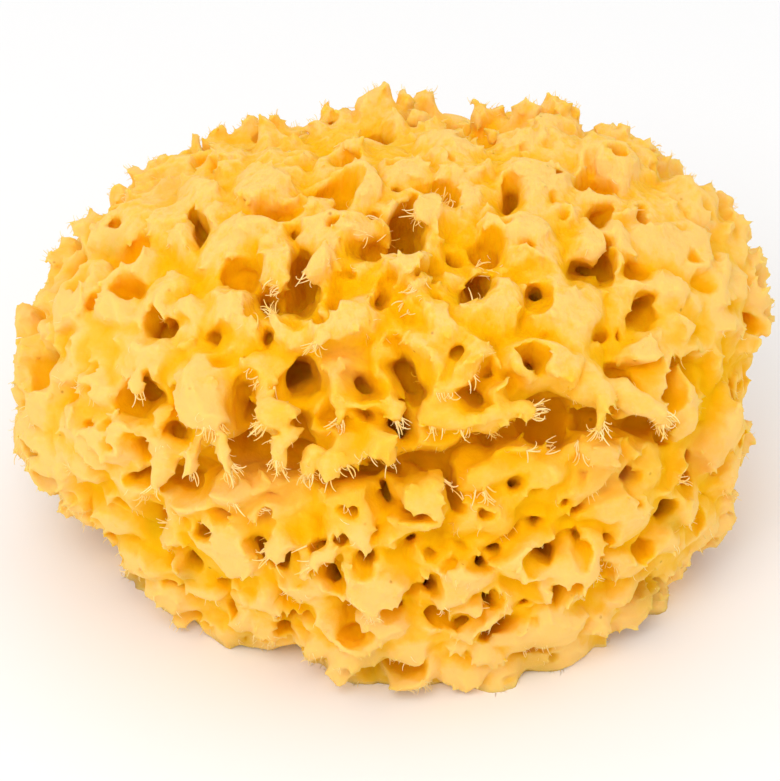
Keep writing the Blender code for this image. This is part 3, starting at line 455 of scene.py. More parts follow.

# Colours from the depth of a pore to the tips of the lobes: painted shade, amber, in the pores and painted
# highlight, pale, on the tips
BODY_COLOURS = ("E09A00", "ECAB00", "F3B400", "F7B618", "F9BF46", "FAC76E")
FIBRE_COLOURS = ("D09818", "E8B020", "F4C03C", "FACC5C", "FDD87C", "FFE6A0")
DUSTY_COLOUR = "EBAE62"
# Painted shadow: the greenish shade of the gaps under the lower edge and of some pores
OLIVE_SHADOW_COLOUR = "BC9A08"
SPECK_COLOUR = "A86A10"
SPECK_SPACING = 7 * MM
SPECK_EDGE = (0.02, 0.07)
SPECK_STRENGTH = 0.6
SHEEN_COLOUR = "FFD070"
FLOOR_COLOUR = "F6F6F6"

# Where each colour of the body stands on the tone, and how patches and grain shift it
TONE_STOPS = (0.10, 0.26, 0.44, 0.64, 0.84, 1.0)
PATCH_SIZE = 6 * MM
PATCH_SHIFT = 0.44
GRAIN_SIZE = 0.9 * MM
GRAIN_SHIFT = 0.16
DUSTY_STRENGTH = 0.4
# How strongly the greenish painted shadow shows
OLIVE_SHADOW_STRENGTH = 0.45
FELT_SIZE = 0.45 * MM
FELT_HEIGHT = 0.25 * MM
GLOW_REACH = (1.0, 0.6, 0.15)
GLOW_DEPTH = 3 * MM

# Folds of the crown: heights at which they begin and are full, and the size of a fold
FOLDS_FROM = 62 * MM
FOLDS_FULL = 82 * MM
FOLD_SIZE = 1.7 * MM
FOLD_STRETCH = 0.22
FOLD_HEIGHT = 0.8 * MM
FOLD_EDGE = (0.35, 0.65)
FOLD_SHIFT = 0.1

# The photograph's frame: its size, the middle of the sponge's outline in it, and its scale
PHOTO_WIDTH = 780
PHOTO_HEIGHT = 781
OUTLINE_CENTRE = (396, 392)
PIXELS_PER_METRE = 5.07 / MM
SENSOR = 36
CLIP_START = 10 * MM

# The stage: half the floor's width, and the lamp's width and place, in metres
FLOOR_REACH = 2
LAMP_WIDTH = 0.35
LAMP_PLACE = (-0.15, -0.5, 0.6)


def ease(low, high, value):
    """Rise smoothly from 0 at low to 1 at high."""
    share = min(1, max(0, (value - low) / (high - low)))
    return share * share * (3 - 2 * share)


def wobble(point, per_metre, seed=0.0):
    """A smooth random vector that changes over 1 / per_metre."""
    return noise.noise_vector(point * per_metre + Vector((seed, seed * 1.7, -seed)))


def outline_shift(point):
    """How far a point moves across the line of sight to give the outline its bulges."""
    offset = point - VIEW_CENTRE
    across = offset.dot(ACROSS)
    up = offset.dot(VIEW_UP)
    angle = math.degrees(math.atan2(up, across))
    rise = 0
    for middle, reach, height in OUTLINE_BULGES:
        apart = abs((angle - middle + 180) % 360 - 180)
        rise += height * MM * (1 - ease(0, reach, apart))
    outer = ease(0.5, 1, math.hypot(across / HALF_LENGTH, up / VIEW_HALF_HEIGHT))
    return turned_side(angle) * (rise * outer)


def turned_side(turn):
    """The width direction of a form that is turned in the front view."""
    angle = math.radians(turn)
    return ACROSS * math.cos(angle) + VIEW_UP * math.sin(angle)


def plain_body(subdivisions):
    """The rounded body: an ellipsoid above its widest section and a fuller curve below it."""
    mesh = bmesh.new()
    bmesh.ops.create_icosphere(mesh, subdivisions=subdivisions, radius=1)
    for vert in mesh.verts:
        x, y, z = vert.co
        rise = CROWN_RISE
        if z < 0:
            rise = FOOT_DROP
            spread = max(0, 1 - abs(z) ** FOOT_FULLNESS) ** (1 / FOOT_FULLNESS)
            widen = spread / max(math.hypot(x, y), 1e-6)
            x, y = x * widen, y * widen
        point = BODY_CENTRE + Vector((HALF_LENGTH * x, HALF_DEPTH * y, rise * z))
        outward = Vector((x / HALF_LENGTH, y / HALF_DEPTH, z / CROWN_RISE)).normalized()
        swell = sum(height * noise.noise(point * waves + ACROSS) for height, waves in SWELLS)
        vert.co = point + outward * swell + outline_shift(point)
    mesh.normal_update()
    return mesh


def seen_point(body_tree, across, up):
    """The body's surface at a place of the front view, its normal and the line of sight."""
    target = VIEW_CENTRE + ACROSS * (across * MM) + VIEW_UP * (up * MM)
    sight = (target - VIEWER).normalized()
    point, normal, _, _ = body_tree.ray_cast(VIEWER, sight)
    if point is None:
        point, normal, _, _ = body_tree.find_nearest(target)
    return point, normal, sight


def front_lobes(body_tree):
    """Place each lobe of the front on the body."""
    lobes = []
    for across, up, width, height, turn, rise, droop in FRONT_LOBES:
        point, normal, _ = seen_point(body_tree, across, up)
        side = turned_side(turn)
        side = (side - normal * side.dot(normal)).normalized()
        along = normal.cross(side).normalized()
        slant = max(0.5, abs(along.dot(VIEW_UP)))
        lobes.append((point, side / (width * MM / 2), along / (height * MM / 2 / slant), rise * MM, droop))
    return lobes


def lobe_lift(point, normal, lobes):
    """How far the front lobes lift a point of the body, drooping as they stand out."""
    lift = Vector()
    for centre, side, along, rise, droop in lobes:
        offset = point - centre
        if offset.length < LIFT_REACH:
            reach = math.hypot(offset.dot(side), offset.dot(along))
            lift += (normal - VIEW_UP * droop) * (rise * (1 - ease(*LIFT_EDGE, reach)))
    return lift


def lobed_body(subdivisions, body_tree):
    """The body with its domed lobes, the creases between them and the front lobes."""
    mesh = plain_body(subdivisions)
    lobes = front_lobes(body_tree)
    moves = []
    for vert in mesh.verts:
        bent = vert.co + wobble(vert.co, LOBE_BEND_WAVES) * LOBE_BEND
        near, _ = noise.voronoi(bent / LOBE_SIZE)
        dome = 1 - min(1, near[0] / DOME_REACH) ** 2
        crease = 1 - ease(0, CREASE_REACH, near[1] - near[0])
        move = vert.normal * (LOBE_RISE * (dome - DOME_LEVEL) - LOBE_GAP * crease)
        if vert.normal.dot(TO_VIEWER) > -0.1:
            move += lobe_lift(vert.co, vert.normal, lobes)
        moves.append(move)
    for vert, move in zip(mesh.verts, moves):
        vert.co += move
    return mesh


def mesh_object(name, mesh):
    """Put a bmesh into an object of the scene."""
    data = bpy.data.meshes.new(name)
    mesh.to_mesh(data)
    mesh.free()
    made = bpy.data.objects.new(name, data)
    bpy.context.scene.collection.objects.link(made)
    return made


def ball_mesh(subdivisions):
    """A unit ball to bend into a channel."""
    ball = bmesh.new()
    bmesh.ops.create_icosphere(ball, subdivisions=subdivisions, radius=1)
    data = bpy.data.meshes.new("ball")
    ball.to_mesh(data)
    ball.free()
    return data


def join(first, parts):
    """Join parts into the first of them."""
    with bpy.context.temp_override(active_object=first, object=first, selected_editable_objects=parts):
        bpy.ops.object.join()
    return first


class Channels:
    """Bent funnels that open the body, collected as cutters."""

    TAPER = 0.35
    LARGE = 3 * MM
    SQUARENESS = 2.5
    COARSE = (0.35, 1.6 * MM)
    FINE = (0.2, 0.8 * MM)
    COARSE_WAVES = 150
    FINE_WAVES = 420
    DRIFT_WAVES = 300

    def __init__(self):
        self.cutters = []
        self.small_ball = ball_mesh(3)
        self.large_ball = ball_mesh(4)

    def add(self, mouth, inward, side, size, depth, bowl, seed, bend=0.3, outside=8 * MM):
        """A funnel of a width and height at its mouth, running inward and ending round."""
        width, height = size
        side = (side - inward * side.dot(inward)).normalized()
        along = inward.cross(side).normalized()
        drift = wobble(mouth, self.DRIFT_WAVES, seed) * depth * bend
        narrow = min(width, height)
        coarse, fine = [min(narrow * share, most) for share, most in (self.COARSE, self.FINE)]
        ball = self.large_ball if narrow > self.LARGE else self.small_ball
        shaped = ball.copy()
        for vert in shaped.vertices:
            x, y, z = vert.co
            corners = (abs(x) ** self.SQUARENESS + abs(y) ** self.SQUARENESS) ** (1 / self.SQUARENESS)
            square = (1 - z ** 4) ** 0.25 / max(corners, 1e-6) if abs(z) < 1 else 0
            inside = max(0, z)
            run = z * (depth if z > 0 else outside)
            wider = bowl * (1 - ease(-BOWL_LIP, BOWL_DEPTH, run))
            narrowing = 1 - self.TAPER * inside
            point = mouth + inward * run + drift * inside ** 2
            point += side * (x * square * (narrowing * width / 2 + wider))
            point += along * (y * square * (narrowing * height / 2 + wider))
            rough = wobble(point, self.COARSE_WAVES, seed) * coarse
            vert.co = point + rough + wobble(point, self.FINE_WAVES, seed + 3) * fine
        cutter = bpy.data.objects.new("channel", shaped)
        bpy.context.scene.collection.objects.link(cutter)
        self.cutters.append(cutter)

    def joined(self):
        """All the channels as one object."""
        return join(self.cutters[0], self.cutters)


def front_openings(channels, body_tree):
    """Openings that show at the front. Returns where each is, its radius and its normal."""
    sites = []
    for number, (across, up, width, height, turn, depth) in enumerate(FRONT_OPENINGS):
        point, normal, sight = seen_point(body_tree, across, up)
        size = math.sqrt(width * height)
        bowl = BOWL_WIDTH * min(1, size / 4) * (1 if depth > CUP else BOWL_SHARE)
        sites.append((point, size * MM / 2 + bowl * BOWL_SHARE, normal))
        lean = DEEP_LEAN if depth > CUP else SHALLOW_LEAN
        inward = (sight * (1 - lean) - normal * lean).normalized()
        mouth = (width * MOUTH_GAIN * MM, height * MOUTH_GAIN * MM)
        channels.add(point, inward, turned_side(turn), mouth, (depth * DEPTH_SHARE + ROOF) * MM, bowl,
                     number * FRONT_SEED_STEP)
    return sites


def crevice(channels, body_tree):
    """The long crevice across the front, two overlapping slots for each of its points."""
    for start, end in zip(CREVICE, CREVICE[1:]):
        for share in (0, 0.5):
            across, up, half = [a + (b - a) * share for a, b in zip(start, end)]
            point, normal, sight = seen_point(body_tree, across, up)
            inward = (sight * SLOT_SIGHT - normal * SLOT_LEAN + VIEW_UP * SLOT_CLIMB).normalized()
            slot = (half * SLOT_WIDTH * MM, half * SLOT_HEIGHT * MM)
            channels.add(point, inward, ACROSS, slot, (SLOT_DEPTH + half) * MM, SLOT_BOWL,
                         across * SLOT_SEED_STEP, 0.2)


def golden_points(count):
    """Points spread evenly over a unit ball's surface."""
    for number in range(count):
        z = 1 - 2 * (number + 0.5) / count
        radius = math.sqrt(1 - z * z)
        yield Vector((radius * math.cos(number * GOLDEN_TURN), radius * math.sin(number * GOLDEN_TURN), z))


def strayed(direction, waves, seed, reach):
    """A direction that strays from its place in an even spread, so that no rows show."""
    return (direction + wobble(direction, waves, seed) * reach).normalized()


def crowded(point, clear, sites):
    """Whether an opening here would come too close to another."""
    return any((point - other).length < radius + clear for other, radius, _ in sites)


def random_opening(channels, point, normal, size, forms, bowl, seed, chance):
    """An opening with a random turn, shape and depth."""
    shapes, depths = forms
    side = Vector([chance.uniform(-1, 1) for _ in range(3)])
    inward = (wobble(point, 200, 2) * 0.5 - normal).normalized()
    mouth = (size, size * chance.uniform(*shapes))
    channels.add(point, inward, side, mouth, size * chance.uniform(*depths), bowl, seed)


def hidden_openings(channels, body_tree, sites, chance):
    """Openings all round the rest of the body, none closer than a wall's width."""
    directions = list(golden_points(HIDDEN_SITES))
    chance.shuffle(directions)
    for number, direction in enumerate(directions):
        direction = strayed(direction, *HIDDEN_STRAY)
        point, normal, _, _ = body_tree.ray_cast(BODY_CENTRE, direction)
        size = chance.choice(HIDDEN_SIZES) * MM
        if point.z < LOWEST_OPENING or normal.dot(TO_VIEWER) > SIGHT_LIMIT:
            continue
        if crowded(point, size / 2 + THINNEST_WALL, sites):
            continue
        bowl = min(HIDDEN_BOWL, size * HIDDEN_BOWL_SHARE)
        sites.append((point, size / 2 + bowl * BOWL_SHARE, normal))
        random_opening(channels, point, normal, size, (HIDDEN_SHAPES, HIDDEN_DEPTHS), bowl,
                       number * HIDDEN_SEED_STEP, chance)


def fine_openings(channels, body_tree, sites, chance):
    """The finest pores, in the walls between the others. Those of the front are dimples."""
    directions = list(golden_points(FINE_SITES))
    chance.shuffle(directions)
    for number, direction in enumerate(directions):
        direction = strayed(direction, *FINE_STRAY)
        point, normal, _, _ = body_tree.ray_cast(BODY_CENTRE, direction)
        size = chance.choice(FINE_SIZES) * MM
        wall = FINE_WALL
        if normal.dot(TO_VIEWER) > SIGHT_LIMIT:
            size = min(size, FINE_FRONT_SIZE)
            wall = FINE_FRONT_WALL
            if chance.random() > FRONT_SHARE:
                continue
        if point.z < LOWEST_OPENING or crowded(point, size / 2 + wall, sites):
            continue
        sites.append((point, size / 2, normal))
        random_opening(channels, point, normal, size, (FINE_SHAPES, FINE_DEPTHS), size * FINE_BOWL_SHARE,
                       number * FINE_SEED_STEP, chance)


def grooves(channels, sites, chance):
    """Shallow grooves that run from one opening into the next."""
    for number, (start, start_radius, start_normal) in enumerate(sites):
        for end, end_radius, end_normal in sites[number + 1:]:
            apart = (end - start).length
            wall = apart - start_radius - end_radius
            small = min(start_radius, end_radius) < SMALLEST_PORE / 2
            if wall > GROOVE_WALL or apart > GROOVE_REACH or small:
                continue
            if chance.random() > GROOVE_CHANCE:
                continue
            inward = -(start_normal + end_normal).normalized()
            size = (apart * GROOVE_SHARE, chance.uniform(*GROOVE_WIDTHS))
            channels.add((start + end) / 2, inward, end - start, size, chance.uniform(*GROOVE_DEPTHS),
                         GROOVE_BOWL, number * GROOVE_SEED_STEP, 0.1)


def base_pores(channels, chance, count, sizes, depth):
    """Pores that the flat cut lays open, around a plain land in the middle."""
    for number in range(count):
        reach = BASE_LAND + (BASE_REACH - BASE_LAND) * math.sqrt((number + 0.5) / count)
        angle = number * GOLDEN_TURN
        point = Vector((math.cos(angle) * CUT_LENGTHENING, math.sin(angle) * CUT_NARROWING, 0)) * reach
        size = chance.choice(sizes) * MM
        inward = (Vector((0, 0, 1)) + wobble(point, 90, 3) * 0.3).normalized()
        channels.add(point, inward, ACROSS, (size, size * chance.uniform(*CUT_SHAPES)), size * depth, 0,
                     number * CUT_SEED_STEP, outside=FOOT_DROP)


def evaluated(source, name):
    """A new object with the source's modifiers applied. The source is removed."""
    graph = bpy.context.evaluated_depsgraph_get()
    data = bpy.data.meshes.new_from_object(source.evaluated_get(graph))
    made = bpy.data.objects.new(name, data)
    bpy.context.scene.collection.objects.link(made)
    bpy.data.objects.remove(source)
    return made


def remesh(target, voxel, smoothing=0):
    """Make one skin of overlapping forms."""
    skin = target.modifiers.new("skin", "REMESH")
    skin.mode = "VOXEL"
    skin.voxel_size = voxel
    if smoothing:
        relaxed = target.modifiers.new("relaxed", "SMOOTH")
        relaxed.factor = 0.5
        relaxed.iterations = smoothing


def subtract(target, cutter):
    """Cut one closed mesh from another."""
    cut = target.modifiers.new("cut", "BOOLEAN")
    cut.operation = "DIFFERENCE"
    cut.solver = "MANIFOLD"
    cut.object = cutter


def cut_flat(body, name, height):
    """Take off everything below a height."""
    block = bmesh.new()
    bmesh.ops.create_cube(block, size=1)
    deep = FOOT_DROP + CUT_MARGIN
    wide = 2 * HALF_LENGTH + 2 * CUT_MARGIN
    bmesh.ops.scale(block, vec=(wide, wide, deep), verts=block.verts)
    bmesh.ops.translate(block, vec=(0, 0, height - deep / 2), verts=block.verts)
    cutter = mesh_object("base cut", block)
    subtract(body, cutter)
    body = evaluated(body, name)
    bpy.data.objects.remove(cutter)
    return body


def keep_largest(mesh):
    """Drop the crumbs and the bubbles, which are shells of their own."""
    left = set(mesh.verts)
    shells = []
    while left:
        grown = {left.pop()}
        edge = list(grown)
        while edge:
            vert = edge.pop()
            for link in vert.link_edges:
                other = link.other_vert(vert)
                if other in left:
                    left.remove(other)
                    grown.add(other)
                    edge.append(other)
        shells.append(grown)
    largest = max(shells, key=len)
    loose = [vert for shell in shells if shell is not largest for vert in shell]
    bmesh.ops.delete(mesh, geom=loose, context="VERTS")


def point_values(data, name, size):
    """A mesh's point values as an array."""
    values = np.empty(len(data.vertices) * size)
    data.vertices.foreach_get(name, values)
    return values.reshape(-1, size)


def ridge_height(data, rounds):
    """How far each point stands out of its surroundings, in metres."""
    places = point_values(data, "co", 3)
    normals = point_values(data, "normal", 3)
    ends = np.empty(len(data.edges) * 2, dtype=np.int32)
    data.edges.foreach_get("vertices", ends)
    first, second = ends.reshape(-1, 2).T
    links = np.maximum(np.bincount(ends, minlength=len(places)), 1)
    smoothed = places.copy()
    for _ in range(rounds):
        total = np.empty_like(smoothed)
        for axis in range(3):
            total[:, axis] = np.bincount(first, smoothed[second, axis], len(places))
            total[:, axis] += np.bincount(second, smoothed[first, axis], len(places))
        smoothed = total / links[:, None]
    return ((places - smoothed) * normals).sum(axis=1)


def store_values(data, name, values, kind="FLOAT", field="value"):
    """Store a value for each point of a mesh."""
    stored = data.attributes.new(name, kind, "POINT")
    stored.data.foreach_set(field, np.asarray(values, dtype=np.float32).ravel())


def stored_tone(data):
    """The tone of each point of a mesh."""
    tones = np.empty(len(data.vertices))
    data.attributes["tone"].data.foreach_get("value", tones)
    return tones


def seat_points(name, places, turns, sizes, tones=None):
    """Loose points that carry the turn and the size of what will stand on them."""
    data = bpy.data.meshes.new(name)
    data.vertices.add(len(places))
    data.vertices.foreach_set("co", np.asarray(places, dtype=np.float32).ravel())
    store_values(data, "turn", turns, "FLOAT_VECTOR", "vector")
    store_values(data, "size", sizes, "FLOAT_VECTOR", "vector")
    if tones is not None:
        store_values(data, "tone", tones)
    made = bpy.data.objects.new(name, data)
    bpy.context.scene.collection.objects.link(made)
    return made


def add_node(tree, kind, settings=None, numbered=None, **named):
    """Add a node, set its settings and link or fill its inputs, by their number or their name."""
    node = tree.nodes.new(kind)
    for name, value in (settings or {}).items():
        setattr(node, name, value)
    inputs = dict(numbered or {})
    inputs.update((name.replace("_", " "), value) for name, value in named.items())
    for key, value in inputs.items():
        if isinstance(value, bpy.types.NodeSocket):
            tree.links.new(value, node.inputs[key])
        else:
            node.inputs[key].default_value = value
    return node


def planted(seats, shapes, name):
    """Stand a copy of one of the shapes on every seat, as one real mesh."""
    tree = bpy.data.node_groups.new("planting", "GeometryNodeTree")
    for way in ("INPUT", "OUTPUT"):
        tree.interface.new_socket("Geometry", in_out=way, socket_type="NodeSocketGeometry")
    seated = add_node(tree, "NodeGroupInput").outputs["Geometry"]
    picked = add_node(tree, "GeometryNodeCollectionInfo", Collection=shapes, Separate_Children=True,
                      Reset_Children=True)
    vector = {"data_type": "FLOAT_VECTOR"}
    turn = add_node(tree, "GeometryNodeInputNamedAttribute", vector, Name="turn").outputs["Attribute"]
    size = add_node(tree, "GeometryNodeInputNamedAttribute", vector, Name="size").outputs["Attribute"]
    placed = add_node(tree, "GeometryNodeInstanceOnPoints", Points=seated, Instance=picked.outputs[0],
                      Pick_Instance=True, Rotation=turn, Scale=size)
    solid = add_node(tree, "GeometryNodeRealizeInstances", Geometry=placed.outputs["Instances"])
    add_node(tree, "NodeGroupOutput", Geometry=solid.outputs["Geometry"])
    seats.modifiers.new("planting", "NODES").node_group = tree
    return evaluated(seats, name)


def tube(name, path, radii, sides):
    """A closed tube along a path, with a radius at each of its points."""
    mesh = bmesh.new()
    rings = []
    for number, (point, radius) in enumerate(zip(path, radii)):
        ahead = path[min(number + 1, len(path) - 1)] - path[max(number - 1, 0)]
        place = Matrix.Translation(point) @ ahead.to_track_quat("Z", "Y").to_matrix().to_4x4()
        corners = bmesh.ops.create_circle(mesh, segments=sides, radius=radius, matrix=place)["verts"]
        rings.append(list({edge for corner in corners for edge in corner.link_edges}))
    for first, second in zip(rings, rings[1:]):
        bmesh.ops.bridge_loops(mesh, edges=first + second)
    bmesh.ops.holes_fill(mesh, edges=rings[0] + rings[-1], sides=sides)
    bmesh.ops.recalc_face_normals(mesh, faces=mesh.faces)
    return mesh_object(name, mesh)


def limb_path(start, normal, way, length):
    """The middle line of a limb that leaves the skin and droops."""
    steps = len(LIMB_PROFILE) - 1
    along = (way - normal * way.dot(normal)).normalized()
    path = []
    for step in range(steps + 1):
        share = step / steps
        lift = normal * (length * LIMB_LIFT * share * (LIMB_ARCH - share))
        drop = VIEW_UP * (length * LIMB_DROP * share ** 2)
        point = start - normal * LIMB_ROOT + along * (length * share) + lift - drop
        path.append(point + wobble(point, FIBRE_WAVES, 5) * (LIMB_BEND * share))
    return path


def outline_point(tree, angle):
    """The body's surface at its outline in the front view, at an angle round it."""
    way = turned_side(angle)
    reach = OUTLINE_REACH
    point = None
    while point is None:
        reach -= OUTLINE_STEP
        target = VIEW_CENTRE + way * reach
        point = tree.ray_cast(VIEWER, (target - VIEWER).normalized())[0]
    return point


def finger_path(root, way, length):
    """The middle line of a finger that stands straight out, a little bent."""
    steps = len(FINGER_PROFILE) - 1
    path = []
    for step in range(steps + 1):
        share = step / steps
        point = root + way * (length * share)
        path.append(point + wobble(point, FIBRE_WAVES, 5) * (FINGER_BEND * share))
    return path


def outline_fingers(lobed_tree):
    """The fingers along the outline: the middle line and the radii of each."""
    chance = random.Random(FINGER_SEED)
    angle, last = FINGER_SPAN
    fingers = []
    while angle < last:
        lean = chance.uniform(-FINGER_LEAN, FINGER_LEAN)
        length = chance.uniform(*FINGER_LENGTHS) * MM
        width = chance.uniform(*FINGER_WIDTHS) * MM
        if chance.random() < FINGER_CHANCE and angle > FINGER_SPAN[0]:
            way = turned_side(angle + lean)
            root = outline_point(lobed_tree, angle) - way * FINGER_INSET
            path = finger_path(root, way, length)
            fingers.append((path, [width / 2 * share for share in FINGER_PROFILE]))
        angle += FINGER_STEP
    return fingers


def loop_path(tree, across, up, width, height, turn):
    """The middle line of a small loop that stands on the outline."""
    angle = math.degrees(math.atan2(up, across))
    outward = turned_side(turn)
    root = outline_point(tree, angle) - outward * LOOP_INSET
    side = turned_side(turn - 90)
    path = []
    for step in range(LOOP_STEPS + 1):
        bend = math.pi * step / LOOP_STEPS
        aside = side * (math.cos(bend) * width * MM / 2)
        path.append(root + aside + outward * (math.sin(bend) * height * MM))
    return path


def curl_path(bend, rings):
    """The path of a strand of unit length that curls by an angle, more towards its end."""
    path = [Vector((0, 0, 0))]
    for ring in range(rings):
        angle = bend * ((ring + 0.5) / rings) ** 1.4
        path.append(path[-1] + Vector((0, -math.sin(angle), math.cos(angle))) / rings)
    return path


def curled(name, bends, sides, rings, thickness, tip):
    """Strands of unit length, one for each bend, with their thickness and the share left at the tip."""
    radii = [thickness * (1 - (1 - tip) * ring / rings) for ring in range(rings + 1)]
    return [tube("%s %d" % (name, number), curl_path(bend, rings), radii, sides)
            for number, bend in enumerate(bends)]


def pointed(name, thickness):
    """A straight, pointed hair of unit length."""
    mesh = bmesh.new()
    bmesh.ops.create_cone(mesh, cap_ends=True, segments=3, radius1=thickness, radius2=0, depth=1)
    bmesh.ops.translate(mesh, vec=(0, 0, 0.5), verts=mesh.verts)
    return mesh_object(name, mesh)


def shape_collection(name, shapes):
    """Strand shapes to plant, out of sight of the scene."""
    collection = bpy.data.collections.new(name)
    for shape in shapes:
        bpy.context.scene.collection.objects.unlink(shape)
        collection.objects.link(shape)
    return collection


def standing(direction, roll):
    """The turn that stands a strand along a direction, curling down, then rolls it."""
    turn = Vector(direction).to_track_quat("Z", "Y") @ Quaternion((0, 0, 1), roll)
    return turn.to_euler()


def limb_radii(width):
    """The radii of a limb of a width, from its root to its end."""
    return [width * MM / 2 * share for share in LIMB_SHARES]


def front_limbs(lobed_tree):
    """The limbs of the front: the middle line and the radii of each."""
    limbs = []
    for across, up, length, width, turn in FRONT_LIMBS:
        point, normal, _ = seen_point(lobed_tree, across, up)
        path = limb_path(point, normal, turned_side(turn), length * LIMB_REACH * MM)
        limbs.append((path, limb_radii(width)))
    return limbs


def hidden_limbs(lobed_tree, body_tree, chance):
    """Limbs all round the rest of the body: the middle line and the radii of each."""
    limbs = []
    for direction in golden_points(HIDDEN_LIMBS):
        direction = strayed(direction, *LIMB_STRAY)
        plain_point, plain_normal, _, _ = body_tree.ray_cast(BODY_CENTRE, direction)
        if plain_point.z < LOWEST_LIMB or plain_normal.dot(TO_VIEWER) > LIMB_SIGHT_LIMIT:
            continue
        point, normal, _, _ = lobed_tree.ray_cast(BODY_CENTRE, direction)
        spin = chance.uniform(-LIMB_SPIN, LIMB_SPIN)
        way = Quaternion(normal, spin) @ Vector((0, 0, -1))
        path = limb_path(point, normal, way, chance.uniform(*HIDDEN_LIMB_LENGTHS) * MM)
        limbs.append((path, limb_radii(chance.uniform(*HIDDEN_LIMB_WIDTHS))))
    return limbs


def outline_loops(lobed_tree):
    """The small loops on the outline: the middle line and the radii of each."""
    paths = [loop_path(lobed_tree, *loop) for loop in OUTLINE_LOOPS]
    return [(path, [LOOP_RADIUS] * len(path)) for path in paths]


def add_limbs(body, limbs):
    """Set limbs on the body."""
    return join(body, [body] + [tube("limb", path, radii, LIMB_SIDES) for path, radii in limbs])


def edge_tips(body, limbs, settings):
    """Blunt tips where the walls between pores end in torn edges, and claws at the limbs' ends."""
    chance = random.Random(settings.seed)
    heights = ridge_height(body.data, RIDGE_ROUNDS)
    ridge = np.percentile(heights, settings.ridge_share)
    order = np.nonzero(heights > ridge)[0].tolist()
    chance.shuffle(order)
    places = []
    turns = []
    sizes = []
    taken = set()
    for index in order:
        vert = body.data.vertices[index]
        cell = tuple(math.floor(c / settings.tip_spacing) for c in vert.co)
        calm = noise.noise(vert.co * CALM_WAVES + Vector((0, 0, 4)))
        if vert.co.z < LOWEST_TIP or cell in taken or chance.random() < CALM_SHARE + CALM_GAIN * calm:
            continue
        taken.add(cell)
        lean = vert.normal * TIP_STANDING + wobble(vert.co, FIBRE_WAVES) * TIP_STANDING
        lean -= Vector((0, 0, TIP_DROOP))
        places.append(vert.co - lean.normalized() * TIP_ROOT)
        turns.append(standing(lean, chance.uniform(-0.8, 0.8)))
        sizes.append([chance.uniform(SHORTEST_TIP, settings.tip_length / MM) * MM] * 3)
    for path, radii in limbs:
        end = (path[-1] - path[-3]).normalized()
        for _ in range(chance.choice(CLAW_COUNTS)):
            lean = end + Vector([chance.gauss(0, CLAW_SPREAD) for _ in range(3)])
            stray = Vector([chance.gauss(0, CLAW_STRAY) for _ in range(3)]) * radii[-1]
            places.append(path[-1] - end * radii[-1] + stray)
            turns.append(standing(lean, chance.uniform(-2, 2)))
            sizes.append([chance.uniform(*CLAW_SCALES) * min(radii[1], CLAW_SIZE)] * 3)
    seats = seat_points("tip seats", places, turns, sizes)
    return planted(seats, shape_collection("tips", curled("tip", TIP_BENDS, 6, 3, 0.33, 0.65)), "tips")


def warped(point):
    """Where a point goes when the whole skin bends a little, so that no wall stays straight."""
    bends = [wobble(point, waves, waves) * reach for reach, waves in WARPS]
    return point + sum(bends, Vector())


def grow_body(settings):
    """Grow the body, open its pores, fray its ridges and cut it flat.

    Also returns the ends of the limbs of the front, of the hidden ones and of the fingers."""
    plain = plain_body(6)
    body_tree = BVHTree.FromBMesh(plain)
    plain.free()
    chance = random.Random(settings.seed)
    channels = Channels()
    sites = front_openings(channels, body_tree)
    crevice(channels, body_tree)
    hidden_openings(channels, body_tree, sites, chance)
    grooves(channels, sites, chance)
    base_pores(channels, chance, BASE_PORES, BASE_SIZES, CUT_DEPTH)
    fine_openings(channels, body_tree, sites, chance)
    base_pores(channels, chance, FINE_BASE_PORES, FINE_BASE_SIZES, FINE_CUT_DEPTH)
    holes = channels.joined()
    remesh(holes, settings.pore_voxel)
    holes = evaluated(holes, "holes")
    lobed = lobed_body(7, body_tree)
    lobed_tree = BVHTree.FromBMesh(lobed)
    body = mesh_object("body", lobed)
    subtract(body, holes)
    body = evaluated(body, "opened")
    bpy.data.objects.remove(holes)
    kinds = [front_limbs(lobed_tree), hidden_limbs(lobed_tree, body_tree, chance),
             outline_fingers(lobed_tree)]
    limbs = [limb for kind in kinds for limb in kind]
    body = add_limbs(body, limbs + outline_loops(lobed_tree))
    remesh(body, settings.pore_voxel, settings.smoothing)
    body = evaluated(body, "grown")
    tips = edge_tips(body, limbs, settings)
    body = join(body, [body, tips])
    remesh(body, settings.skin_voxel, 2)
    body = evaluated(body, "frayed")
    for vert in body.data.vertices:
        vert.co = warped(vert.co)
    body = cut_flat(body, "cut", 0)
    whole = bmesh.new()
    whole.from_mesh(body.data)
    keep_largest(whole)
    bmesh.ops.translate(whole, vec=CENTRING, verts=whole.verts)
    share = settings.triangles / (2 * len(whole.faces))
    whole.to_mesh(body.data)
    whole.free()
    thinned = body.modifiers.new("thinned", "DECIMATE")
    thinned.ratio = share
    body = evaluated(body, BODY_NAME)
    for vert in body.data.vertices:
        vert.co.z = max(vert.co.z, 0)
    body.data.name = BODY_NAME
    body.data.shade_smooth()
    body.data.set_sharp_from_angle(angle=SHARP_EDGE)
    ends = [[(warped(path[-1]) + CENTRING, (path[-1] - path[-3]).normalized()) for path, _ in kind]
            for kind in kinds]
    return body, ends


def measure_openness(data):
    """Store how much of the sky above each point is free within a pore's reach, from 0 to 1."""
    faces = [tuple(face.vertices) for face in data.polygons]
    tree = BVHTree.FromPolygons([vert.co for vert in data.vertices], faces)
    rays = [ray for ray in golden_points(2 * SKY_RAYS) if ray.z > 0]
    full = sum(ray.z for ray in rays)
    values = np.empty(len(data.vertices), dtype=np.float32)
    for vert in data.vertices:
        upright = vert.normal.to_track_quat("Z", "Y")
        start = vert.co + vert.normal * SKY_START
        free = 0
        for ray in rays:
            _, _, _, reach = tree.ray_cast(start, upright @ ray, SKY_REACH)
            free += ray.z * (1 if reach is None else SKY_BLOCKED * reach / SKY_REACH)
        values[vert.index] = free / full
    store_values(data, "openness", values)
    return values


